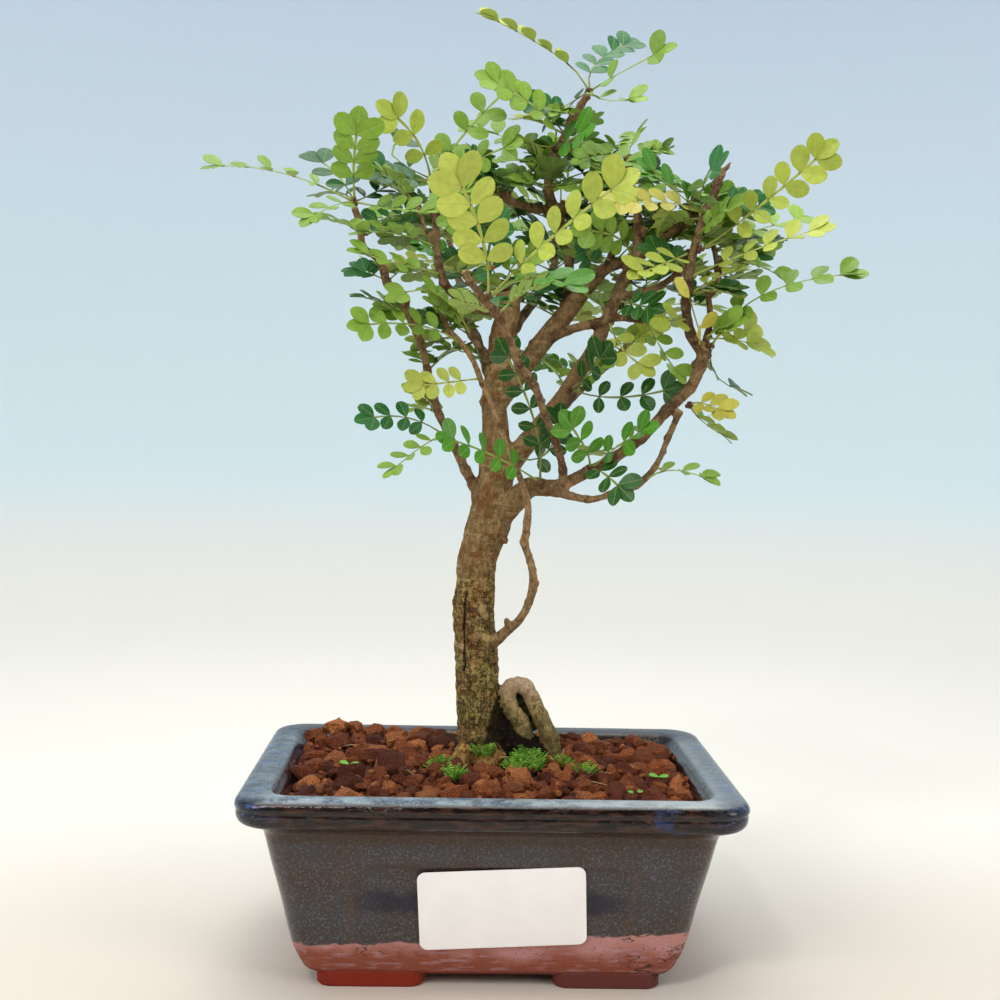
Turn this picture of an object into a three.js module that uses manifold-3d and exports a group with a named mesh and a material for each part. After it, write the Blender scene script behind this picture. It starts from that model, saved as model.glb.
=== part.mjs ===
// Chinese pepper bonsai in its glazed pot: millimetres, +Z up, front towards -Y.
// The pot, its bare label, its drain meshes, the granule bed, the tree in one piece from its
// roots to its twigs, and one spray of compound leaves for each shoot are separate solids.
import * as THREE from 'three';
import { mergeVertices } from 'three/addons/utils/BufferGeometryUtils.js';
import Module from 'manifold-3d';

const wasm = await Module();
wasm.setup();

// Driving dimensions
const POT_WIDTH = 152;
const POT_DEPTH = 109.3;
const POT_HEIGHT = 61.7;
const FOOT_HEIGHT = 4;
const LIP_OVERHANG = 7.8;
const WALL_FLARE = 8.6;
const PANEL_FLARE = 3.8;
const LABEL_WIDTH = 50;
const LABEL_HEIGHT = 25.4;
const LABEL_THICKNESS = 0.6;
const LABEL_RAISE = 0.7;
const GAP = 0.3;
const SOIL_EDGE_Z = 55.5;
const SOIL_CROWN = 4;
const TRUNK_DEPTH = 12;
const GRANULE_COLUMNS = 14;
const GRANULE_ROWS = 10;
const GRANULE_RELIEF = 3.2;
const STEPS_PER_ROW = 0.84;
const BLADE_THICKNESS = 0.6;
const RIB_HALF_WIDTH = 0.55;
const SPUR_RADIUS = 2.2;
const LEAF_START = 1.1;
const MOST_PAIRS = 3;

const group = new THREE.Group();

// Seeded numbers from 0 to 1, the same on every run
function seededRandom(seed) {
  let state = seed >>> 0;
  return () => {
    state = (Math.imul(state, 1664525) + 1013904223) >>> 0;
    return state / 4294967296;
  };
}

// Closed geometry to a solid and back
function toSolid(geometry) {
  const bare = geometry.clone();
  bare.deleteAttribute('normal');
  bare.deleteAttribute('uv');
  const merged = mergeVertices(bare, 1e-4);
  return new wasm.Manifold(new wasm.Mesh({
    numProp: 3,
    vertProperties: new Float32Array(merged.attributes.position.array),
    triVerts: new Uint32Array(merged.index.array),
  }));
}

function toGeometry(solid) {
  const mesh = solid.getMesh();
  const geometry = new THREE.BufferGeometry();
  geometry.setAttribute('position', new THREE.BufferAttribute(mesh.vertProperties, 3));
  geometry.setIndex(new THREE.BufferAttribute(mesh.triVerts, 1));
  geometry.computeVertexNormals();
  return geometry;
}

function joinAll(solids) {
  return solids.reduce((whole, next) => whole.add(next));
}

// The biggest single body of a solid: scraps that a cut leaves loose are dropped
function largestBody(solid) {
  const bodies = solid.decompose();
  return bodies.reduce((best, next) => (next.volume() > best.volume() ? next : best));
}

function addPiece(name, solid, material) {
  const piece = new THREE.Mesh(toGeometry(solid), material);
  piece.name = name;
  group.add(piece);
}

// Pot: a rounded rectangle extruded in steps, each step resized to its own section
function roundedRectangle(halfX, halfY, radius, segments = 3) {
  const shape = new THREE.Shape();
  const corners = [[1, -1, -90], [1, 1, 0], [-1, 1, 90], [-1, -1, 180]];
  corners.forEach(([signX, signY, startDegrees], corner) => {
    for (let i = 0; i <= segments; i++) {
      const angle = THREE.MathUtils.degToRad(startDegrees + (90 * i) / segments);
      const x = signX * (halfX - radius) + radius * Math.cos(angle);
      const y = signY * (halfY - radius) + radius * Math.sin(angle);
      if (corner === 0 && i === 0) shape.moveTo(x, y);
      else shape.lineTo(x, y);
    }
  });
  shape.closePath();
  return shape;
}

function sectionedBlock(sections) {
  const unit = { halfX: 3, halfY: 3, radius: 1 };
  const shape = roundedRectangle(unit.halfX, unit.halfY, unit.radius);
  const steps = sections.length - 1;
  const block = new THREE.ExtrudeGeometry(shape, { depth: steps, steps, bevelEnabled: false });
  const position = block.attributes.position;
  for (let i = 0; i < position.count; i++) {
    const [z, halfX, halfY, radius] = sections[Math.round(position.getZ(i))];
    const resize = (value, unitHalf, half) => {
      const along = Math.abs(value) - (unitHalf - unit.radius);
      return Math.sign(value) * (half - radius + radius * along);
    };
    position.setXYZ(
      i,
      resize(position.getX(i), unit.halfX, halfX),
      resize(position.getY(i), unit.halfY, halfY),
      z,
    );
  }
  return toSolid(block);
}

const lipHalfX = POT_WIDTH / 2;
const lipHalfY = POT_DEPTH / 2;
const wallTopX = lipHalfX - LIP_OVERHANG;
const wallTopY = lipHalfY - LIP_OVERHANG;
const baseHalfX = wallTopX - WALL_FLARE;
const baseHalfY = wallTopY - WALL_FLARE;
const wallTopZ = POT_HEIGHT - 12;
const floorTopZ = FOOT_HEIGHT + 6;
const wallLean = Math.atan2(wallTopY - baseHalfY, wallTopZ - FOOT_HEIGHT);

const potOutside = [
  [FOOT_HEIGHT, baseHalfX - 2.2, baseHalfY - 2.2, 6],
  [FOOT_HEIGHT + 1.2, baseHalfX - 0.6, baseHalfY - 0.6, 7],
  [FOOT_HEIGHT + 3.5, baseHalfX + 0.2, baseHalfY + 0.2, 7.5],
  [FOOT_HEIGHT + 24, baseHalfX + PANEL_FLARE, baseHalfY + PANEL_FLARE, 8],
  [wallTopZ, wallTopX, wallTopY, 8],
  [POT_HEIGHT - 10, lipHalfX - 6.6, lipHalfY - 6.6, 8],
  [POT_HEIGHT - 8.5, lipHalfX - 3.2, lipHalfY - 3.2, 9],
  [POT_HEIGHT - 6.8, lipHalfX - 0.9, lipHalfY - 0.9, 9.5],
  [POT_HEIGHT - 3.6, lipHalfX, lipHalfY, 9.5],
  [POT_HEIGHT - 1.5, lipHalfX - 0.9, lipHalfY - 0.9, 9.5],
  [POT_HEIGHT - 0.4, lipHalfX - 2.8, lipHalfY - 2.8, 8.5],
  [POT_HEIGHT, lipHalfX - 5, lipHalfY - 5, 8],
  [POT_HEIGHT - 0.4, lipHalfX - 8.5, lipHalfY - 8.5, 7],
];
const potInside = [
  [floorTopZ, baseHalfX - 8.2, baseHalfY - 8.2, 5],
  [floorTopZ + 3, baseHalfX - 6.2, baseHalfY - 6.2, 6],
  [POT_HEIGHT - 6, lipHalfX - 13.2, lipHalfY - 13.2, 6],
  [POT_HEIGHT - 2.2, lipHalfX - 11.2, lipHalfY - 11.2, 6.5],
  [POT_HEIGHT + 0.6, lipHalfX - 9.6, lipHalfY - 9.6, 7],
];

// A panel sunk in the front and back walls, its corners notched with a round scoop
function panelCutter(side) {
  const halfWidth = 41;
  const halfHeight = 11.5;
  const notch = 4.5;
  const depth = 0.7;
  const shape = new THREE.Shape();
  shape.moveTo(-halfWidth + notch, -halfHeight);
  shape.lineTo(halfWidth - notch, -halfHeight);
  shape.absarc(halfWidth, -halfHeight, notch, Math.PI, Math.PI / 2, true);
  shape.lineTo(halfWidth, halfHeight - notch);
  shape.absarc(halfWidth, halfHeight, notch, -Math.PI / 2, -Math.PI, true);
  shape.lineTo(-halfWidth + notch, halfHeight);
  shape.absarc(-halfWidth, halfHeight, notch, 0, -Math.PI / 2, true);
  shape.lineTo(-halfWidth, -halfHeight + notch);
  shape.absarc(-halfWidth, -halfHeight, notch, Math.PI / 2, 0, true);
  const panel = new THREE.ExtrudeGeometry(shape, { depth: 6, bevelEnabled: false, curveSegments: 3 });
  const panelZ = FOOT_HEIGHT + 24;
  const wallY = baseHalfY + PANEL_FLARE;
  panel.translate(0, 0, -depth);
  panel.rotateX(Math.PI / 2 + wallLean);
  panel.translate(0, -wallY, panelZ);
  if (side > 0) panel.rotateZ(Math.PI);
  return toSolid(panel);
}

const footCentreX = 36;
const footCentreY = baseHalfY - 10;
const holeCentreX = 27;
const holeRadius = 6;

function foot(signX, signY) {
  const shape = roundedRectangle(16.5, 7, 5, 3);
  const block = new THREE.ExtrudeGeometry(shape, {
    depth: FOOT_HEIGHT + 1,
    bevelEnabled: false,
  });
  const position = block.attributes.position;
  for (let i = 0; i < position.count; i++) {
    const taper = position.getZ(i) > 0 ? 1 : 0.93;
    position.setX(i, position.getX(i) * taper);
    position.setY(i, position.getY(i) * taper);
  }
  block.translate(signX * footCentreX, signY * footCentreY, 0);
  return toSolid(block);
}

function drainHole(signX) {
  const hole = new THREE.CylinderGeometry(holeRadius, holeRadius, floorTopZ * 2, 14);
  hole.rotateX(Math.PI / 2);
  hole.translate(signX * holeCentreX, 0, floorTopZ);
  return toSolid(hole);
}

let pot = sectionedBlock(potOutside);
for (const signX of [-1, 1]) {
  for (const signY of [-1, 1]) pot = pot.add(foot(signX, signY));
}
pot = pot.subtract(sectionedBlock(potInside));
for (const side of [-1, 1]) {
  pot = pot.subtract(panelCutter(side)).subtract(drainHole(side));
}
const glaze = new THREE.MeshStandardMaterial({ color: '#4a4644', roughness: 0.25, metalness: 0 });
addPiece('pot', pot, glaze);

// Label: a bare paper rectangle on the front wall, a little turned
const labelShape = roundedRectangle(LABEL_WIDTH / 2, LABEL_HEIGHT / 2, 2.5, 2);
const labelGeometry = new THREE.ExtrudeGeometry(labelShape, {
  depth: LABEL_THICKNESS,
  bevelEnabled: false,
});
labelGeometry.rotateZ(THREE.MathUtils.degToRad(3));
labelGeometry.translate(0, LABEL_RAISE, 0);
labelGeometry.rotateX(Math.PI / 2 + wallLean);
labelGeometry.translate(3.4, -(baseHalfY + PANEL_FLARE) - GAP, 26.5);
const paper = new THREE.MeshStandardMaterial({ color: '#e9e1da', roughness: 0.7, metalness: 0 });
addPiece('label', toSolid(labelGeometry), paper);

// Drain meshes: a plastic grid square over each hole in the pot's floor
const meshHalf = 10;
const meshThickness = 1.2;
const meshZ = floorTopZ + GAP;
const meshMaterial = new THREE.MeshStandardMaterial({ color: '#2a2b2a', roughness: 0.6, metalness: 0 });

function drainMesh(signX) {
  const plate = new THREE.BoxGeometry(meshHalf * 2, meshHalf * 2, meshThickness);
  plate.translate(signX * holeCentreX, 0, meshZ + meshThickness / 2);
  let grid = toSolid(plate);
  const pitch = 6;
  for (const column of [-1, 0, 1]) {
    for (const row of [-1, 0, 1]) {
      const opening = new THREE.BoxGeometry(4, 4, meshThickness * 3);
      opening.translate(signX * holeCentreX + column * pitch, row * pitch, meshZ);
      grid = grid.subtract(toSolid(opening));
    }
  }
  return grid;
}

addPiece('drain_mesh_left', drainMesh(-1), meshMaterial);
addPiece('drain_mesh_right', drainMesh(1), meshMaterial);

// Wood: each limb is a cylinder bent along its curve; rows are [x, y, z, radius]
const limbs = {
  trunk: [
    [-4, TRUNK_DEPTH, 44, 8], [-3.6, TRUNK_DEPTH, 57, 8.4], [-3.6, TRUNK_DEPTH, 66, 7.4],
    [-4.4, TRUNK_DEPTH, 82, 7.2], [-5.2, TRUNK_DEPTH, 97, 6.9], [-6.5, TRUNK_DEPTH, 110, 6.8],
    [-6, TRUNK_DEPTH, 119, 6.4], [-5, TRUNK_DEPTH, 128, 6.5], [-2, TRUNK_DEPTH, 138, 7.3],
    [-1, TRUNK_DEPTH, 146, 6.6], [0, TRUNK_DEPTH, 156, 5.5], [0, TRUNK_DEPTH, 166, 4.6],
    [-1, TRUNK_DEPTH, 179, 4.1], [0, TRUNK_DEPTH, 189, 4.1], [1, TRUNK_DEPTH, 199, 4],
    [3, TRUNK_DEPTH, 209, 3.8], [2, TRUNK_DEPTH, 215, 3.6],
  ],
  sucker: [
    [0, 7, 99, 2.2], [5, 4, 104, 1.7], [8.4, 1, 107.6, 1.4], [11.6, -0.5, 114, 1.4],
    [12.6, -1.2, 121, 1.4], [11.6, -1.6, 127, 1.3], [9.6, -2, 133, 1.3], [10.2, -2.6, 140, 1.3],
    [10, -3.2, 147, 1.2], [7, -2.4, 155.5, 1.1], [3, 0.8, 165, 1], [-2, 3, 178, 1],
    [-5, 3, 184, 1], [-9, 3, 193, 1], [-14, 3, 199, 1.1], [-17, 3, 202, 1.2], [-20, 3, 211, 1.1],
  ],
  leftLimb: [
    [-5, 11, 146, 3], [-7, 10, 151, 2.2], [-10, 8, 156, 1.9], [-14, 6, 164, 1.7],
    [-19, 4, 174, 1.6], [-21, 2, 180, 1.7], [-23, 1, 188, 1.5], [-25, 0, 196, 1.5],
    [-28, -1, 203, 1.7], [-31, -2, 209, 1.8], [-36, -3, 215, 1.6], [-39, -4, 223, 1.6],
    [-44, -4, 226, 1.5], [-45, -4, 232, 1.4], [-47, -4, 239, 1.3],
  ],
  leftStub: [[-30, -2, 207, 1.4], [-31, -3, 213, 1.2]],
  upright: [
    [1, 11, 208, 2.4], [-8, 3, 209, 2.2], [-13, 0, 211, 1.9], [-18, -2, 216, 1.6],
    [-20, -3, 222, 1.5], [-21, -3, 231, 1.4], [-21, -3, 239, 1.4],
  ],
  uprightBack: [
    [-20, -2, 223, 1.2], [-21, 3, 231, 1.2], [-22, 7, 239, 1.2], [-23, 9, 249, 1.2],
  ],
  paleTwig: [[-20, -3, 224, 0.9], [-24, -2, 232, 0.8], [-27, -1, 240, 0.8]],
  frontLimb: [
    [21, -1, 150, 2.2], [21, -6, 157, 1.6], [18, -14, 166, 1.5], [14, -22, 174, 1.4],
    [10, -29, 183, 1.5], [5, -34, 189, 1.6], [2, -38, 196, 1.4], [-2, -41, 203, 1.5],
    [-6, -43, 207, 1.5], [-10, -45, 212, 1.3], [-12, -46, 215, 1.3],
  ],
  fork: [
    [-2, 11, 137, 4.8], [2, 9, 142, 4.4], [6, 6, 146, 3.9], [11, 2, 151, 3.4],
    [17, 0, 151, 2.8], [23, -2, 152, 2.4],
  ],
  rightLimb: [
    [21, -1, 152, 2.4], [30, -4, 157, 2.2], [37, -5, 161, 2.2], [46, -6, 168, 2.1],
    [54, -6, 177, 2.1], [61, -6, 184, 2.2], [64, -6, 191, 2.4], [65, -6, 197, 2.2],
  ],
  rightUpright: [
    [65, -6, 195, 2.2], [61, -6, 201, 2], [59, -6, 211, 1.8], [60, -6, 222, 1.8],
    [62, -6, 232, 1.6], [64, -6, 238, 1.6], [66, -6, 243, 1.6], [68, -6, 249, 1.8],
    [69, -6, 254, 1.6],
  ],
  splinter: [[69, -6, 252, 1.3], [72, -7, 256, 0.5]],
  lowerLimb: [
    [19, -1, 150, 2], [29, -9, 148, 1.4], [36, -12, 150, 1.3], [44, -12, 153, 1.5],
    [50, -11, 159, 1.2], [54, -9, 168, 1.2], [58, -7, 177, 1.4],
  ],
  backUpright: [
    [65, -5, 196, 1.6], [68, 0, 206, 1.3], [68, 4, 216, 1.3], [71, 5, 221, 1.5],
    [70, 7, 230, 1], [68, 8, 237, 0.9],
  ],
  backTwig: [
    [69, 3, 215, 1.2], [73, 7, 226, 1], [75, 10, 235, 0.8], [80, 14, 246, 0.8], [83, 16, 249, 0.9],
  ],
  mainLimb: [
    [0, 12, 152, 4.8], [4, 12, 158, 4.2], [9, 13, 164, 3.5], [15, 14, 172, 3], [22, 14, 181, 2.8],
    [28, 14, 191, 2.6], [34, 13, 202, 2.5], [37, 12, 210, 2.5], [41, 11, 220, 2.4],
    [45, 10, 228, 2.4], [45, 10, 237, 1.7], [44, 10, 244, 1.5], [42, 10, 252, 1.4],
    [41, 10, 260, 1.4],
  ],
  mainKnob: [[45, 10, 233, 1.4], [48, 9, 237, 1.1]],
  longSide: [
    [44, 9, 226, 2.3], [50, 6, 231, 1.9], [57, 3, 236, 1.9], [63, 1, 240, 1.6], [69, -2, 246, 1.4],
  ],
  longSideStub: [[60, 2, 237, 1.4], [61, 1, 243, 1.2], [62, 0, 248, 1.2]],
  middleLimb: [
    [0, 12, 178, 3.4], [7, 15, 188, 3.2], [14, 17, 198, 3.2], [21, 18, 207, 3.2],
    [27, 17, 215, 3], [33, 15, 222, 2.6], [38, 13, 225, 2.1], [44, 10, 226, 1.8],
  ],
  middleStub: [[35, 15, 223, 1.8], [38, 17, 231, 1.4]],
  innerUpright: [[22, 19, 208, 2.4], [24, 26, 218, 2], [24, 29, 228, 1.9], [23, 31, 238, 1.8]],
  crownLimb: [
    [24, 30, 232, 1.8], [21, 27, 239, 1.9], [18, 22, 244, 2.4], [16, 20, 250, 1.9],
    [16, 19, 258, 1.8], [18, 18, 262, 2.1], [21, 17, 268, 1.6], [23, 16, 273, 1.8],
    [26, 16, 278, 1.5], [28, 15, 281, 1.5],
  ],
  crownSide: [[18, 22, 244, 2], [10, 20, 244, 1.6], [3, 18, 246, 1.5], [-1, 17, 248, 1.4]],
  crownStub: [[20, 22, 243, 1.8], [22, 22, 247, 1.7]],
  crownTwig: [[1, 18, 247, 0.9], [4, 19, 251, 1], [6, 20, 253, 1]],
  crossLimb: [
    [40, 11, 214, 1.8], [48, 9, 216, 1.6], [53, 6, 218, 1.4], [57, 1, 221, 1.4], [60, -5, 222, 1.4],
  ],
  shortLimb: [
    [15, 17, 199, 2.2], [23, 14, 203, 1.8], [30, 12, 205, 1.7], [37, 10, 207, 1.6],
    [43, 8, 207, 1.4], [48, 6, 206, 1.4],
  ],
  backLeft: [
    [0, 13, 181, 3], [-3, 24, 190, 2.2], [-7, 36, 201, 1.9], [-12, 46, 215, 1.6],
    [-15, 52, 229, 1.4], [-18, 56, 239, 1.2],
  ],
  backMiddle: [
    [1, 13, 196, 3], [6, 26, 205, 2.2], [13, 40, 215, 1.9], [20, 52, 227, 1.6],
    [21, 58, 239, 1.4], [23, 62, 249, 1.2],
  ],
  backRight: [
    [16, 14, 173, 2.6], [24, 28, 179, 1.8], [34, 42, 188, 1.5], [46, 52, 199, 1.3],
    [53, 58, 212, 1.1],
  ],
  innerTwig: [[0, 12, 190, 2.2], [-5, 8, 195, 1.6], [-9, 6, 200, 1.4], [-15, 5, 210, 1]],
  loopedRoot: [
    [12.6, 11, 54, 2.8], [12, 10.5, 64, 2.8], [10.6, 9.6, 71.5, 2.8], [8.4, 9, 75, 2.7],
    [6.7, 9, 78, 2.7], [5.9, 9, 81.5, 2.7], [6.6, 9, 84.2, 2.6], [8.8, 9, 85.4, 2.5],
    [11.4, 9, 83.2, 2.6], [15, 9, 77.6, 2.7], [19, 9.5, 69.5, 2.8], [21.4, 10, 62.7, 2.7],
    [22.4, 10.5, 50, 2.4],
  ],
  rootFrontLeft: [[-7, 8, 63, 3.2], [-11, 1, 59, 2.2], [-14, -4, 54, 1.4]],
  rootFront: [[-3, 7, 63, 3.2], [-1, 1, 59, 2.4], [1, -3, 53, 1.4]],
  rootRight: [
    [0, 13, 76, 4.2], [5, 13.5, 70, 5], [10.5, 11.5, 63.5, 5.8], [17, 12, 60, 5.2],
    [21, 12, 53, 3.5],
  ],
  rootBack: [[-6, 16, 63, 3.2], [-10, 24, 59, 2.4], [-12, 29, 53, 1.4]],
};

function limbSides(radius) {
  if (radius > 4) return 9;
  return radius > 2.3 ? 6 : 5;
}

function limbSolid(rows, clearance) {
  const points = rows.map(([x, y, z]) => new THREE.Vector3(x, y, z));
  const path = new THREE.CatmullRomCurve3(points, false, 'centripetal');
  const steps = Math.max(1, Math.round((rows.length - 1) * STEPS_PER_ROW));
  const sides = limbSides(rows[1][3]);
  const tube = new THREE.CylinderGeometry(1, 1, 1, sides, steps);
  const frames = path.computeFrenetFrames(steps, false);
  const position = tube.attributes.position;
  const place = new THREE.Vector3();
  for (let i = 0; i < position.count; i++) {
    const step = Math.round((0.5 - position.getY(i)) * steps);
    const along = step / steps;
    const row = path.getUtoTmapping(along) * (rows.length - 1);
    const before = Math.min(Math.floor(row), rows.length - 2);
    const radius = THREE.MathUtils.lerp(rows[before][3], rows[before + 1][3], row - before);
    path.getPointAt(along, place);
    place.addScaledVector(frames.normals[step], position.getX(i) * (radius + clearance));
    place.addScaledVector(frames.binormals[step], position.getZ(i) * (radius + clearance));
    if (step === 0) place.addScaledVector(frames.tangents[step], -clearance);
    if (step === steps) place.addScaledVector(frames.tangents[step], clearance);
    position.setXYZ(i, place.x, place.y, place.z);
  }
  return toSolid(tube);
}

const tree = joinAll(Object.values(limbs).map((rows) => limbSolid(rows, 0)));
const treeRoom = joinAll(Object.values(limbs).map((rows) => limbSolid(rows, GAP)));
const bark = new THREE.MeshStandardMaterial({ color: '#77664a', roughness: 0.85, metalness: 0 });
addPiece('tree', tree, bark);

// Soil: a bed that fills the pot, mounded to the trunk, its surface raised into clay granules
function moundHeight(x, y) {
  const across = x / wallTopX;
  const deep = y / wallTopY;
  return SOIL_CROWN * Math.max(0, 1 - 0.75 * (across * across + deep * deep));
}

const [, floorX, floorY, floorRadius] = potInside[0];
const [kneeZ, kneeX, kneeY, kneeRadius] = potInside[1];
const [neckZ, neckX, neckY, neckRadius] = potInside[2];
const bedTopZ = SOIL_EDGE_Z - 3;
const bedRise = (bedTopZ - kneeZ) / (neckZ - kneeZ);
const bedHalfX = THREE.MathUtils.lerp(kneeX, neckX, bedRise) - GAP;
const bedHalfY = THREE.MathUtils.lerp(kneeY, neckY, bedRise) - GAP;
const soilBed = sectionedBlock([
  [floorTopZ + GAP, floorX - GAP, floorY - GAP, floorRadius],
  [kneeZ, kneeX - GAP, kneeY - GAP, kneeRadius],
  [bedTopZ, bedHalfX, bedHalfY, neckRadius],
]);

// A place in the rounded rectangle of the soil's surface, across and deep from -1 to 1
function soilPlace(across, deep) {
  const halfX = bedHalfX - GAP;
  const halfY = bedHalfY - GAP;
  const radius = neckRadius + 1;
  const overX = Math.abs(across) * halfX - (halfX - radius);
  const overY = Math.abs(deep) * halfY - (halfY - radius);
  if (overX <= 0 || overY <= 0) return [across * halfX, deep * halfY];
  const pull = Math.max(overX, overY) / Math.hypot(overX, overY);
  return [
    Math.sign(across) * (halfX - radius + overX * pull),
    Math.sign(deep) * (halfY - radius + overY * pull),
  ];
}

// Granules: each cell of a grid is a crumb with four sloping sides and a tilted top
function granules() {
  const random = seededRandom(7);
  const jitter = (amount) => (random() - 0.5) * amount;
  const points = [];
  const index = [];
  const add = (x, y, z) => points.push(new THREE.Vector3(x, y, z)) - 1;
  const furrows = [];
  const underside = [];
  for (let row = 0; row <= GRANULE_ROWS; row++) {
    for (let column = 0; column <= GRANULE_COLUMNS; column++) {
      const edge = row % GRANULE_ROWS === 0 || column % GRANULE_COLUMNS === 0;
      const stray = edge ? 0 : 0.55;
      const across = ((column + jitter(stray)) / GRANULE_COLUMNS) * 2 - 1;
      const deep = ((row + jitter(stray)) / GRANULE_ROWS) * 2 - 1;
      const [x, y] = soilPlace(across, deep);
      const surface = SOIL_EDGE_Z + moundHeight(x, y) - GRANULE_RELIEF / 2;
      furrows.push(add(x, y, surface - (edge ? 0.8 : 0) + jitter(0.8)));
      underside.push(add(x, y, bedTopZ - GAP));
    }
  }
  const wide = GRANULE_COLUMNS + 1;
  for (let row = 0; row < GRANULE_ROWS; row++) {
    for (let column = 0; column < GRANULE_COLUMNS; column++) {
      const first = row * wide + column;
      const corners = [first, first + 1, first + 1 + wide, first + wide];
      const low = corners.map((corner) => points[furrows[corner]]);
      const centre = low.reduce((sum, corner) => sum.add(corner), new THREE.Vector3())
        .multiplyScalar(0.25);
      const lift = GRANULE_RELIEF + jitter(1.6);
      const flatness = 0.55 + jitter(0.16);
      const top = low.map((corner) => {
        const place = centre.clone().lerp(corner, flatness);
        return add(place.x, place.y, place.z + lift + jitter(1.4));
      });
      index.push(top[0], top[1], top[2], top[0], top[2], top[3]);
      for (let side = 0; side < 4; side++) {
        const next = (side + 1) % 4;
        const [a, b] = [furrows[corners[side]], furrows[corners[next]]];
        index.push(a, b, top[next], a, top[next], top[side]);
      }
      const base = corners.map((corner) => underside[corner]);
      index.push(base[0], base[2], base[1], base[0], base[3], base[2]);
    }
  }
  const last = GRANULE_ROWS * wide;
  const wall = (from, to) => {
    index.push(furrows[to], furrows[from], underside[from], furrows[to], underside[from], underside[to]);
  };
  for (let column = 0; column < GRANULE_COLUMNS; column++) {
    wall(column, column + 1);
    wall(last + column + 1, last + column);
  }
  for (let row = 0; row < GRANULE_ROWS; row++) {
    wall((row + 1) * wide, row * wide);
    wall(row * wide + GRANULE_COLUMNS, (row + 1) * wide + GRANULE_COLUMNS);
  }
  const geometry = new THREE.BufferGeometry().setFromPoints(points);
  geometry.setIndex(index);
  return toSolid(geometry);
}

let soil = soilBed.add(granules()).subtract(treeRoom);
for (const signX of [-1, 1]) {
  const room = new THREE.BoxGeometry(meshHalf * 2 + 0.8, meshHalf * 2 + 0.8, 6);
  room.translate(signX * holeCentreX, 0, meshZ + meshThickness + GAP - 3);
  soil = soil.subtract(toSolid(room));
}
const clay = new THREE.MeshStandardMaterial({ color: '#83442b', roughness: 0.95, metalness: 0 });
addPiece('soil', largestBody(soil), clay);

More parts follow.
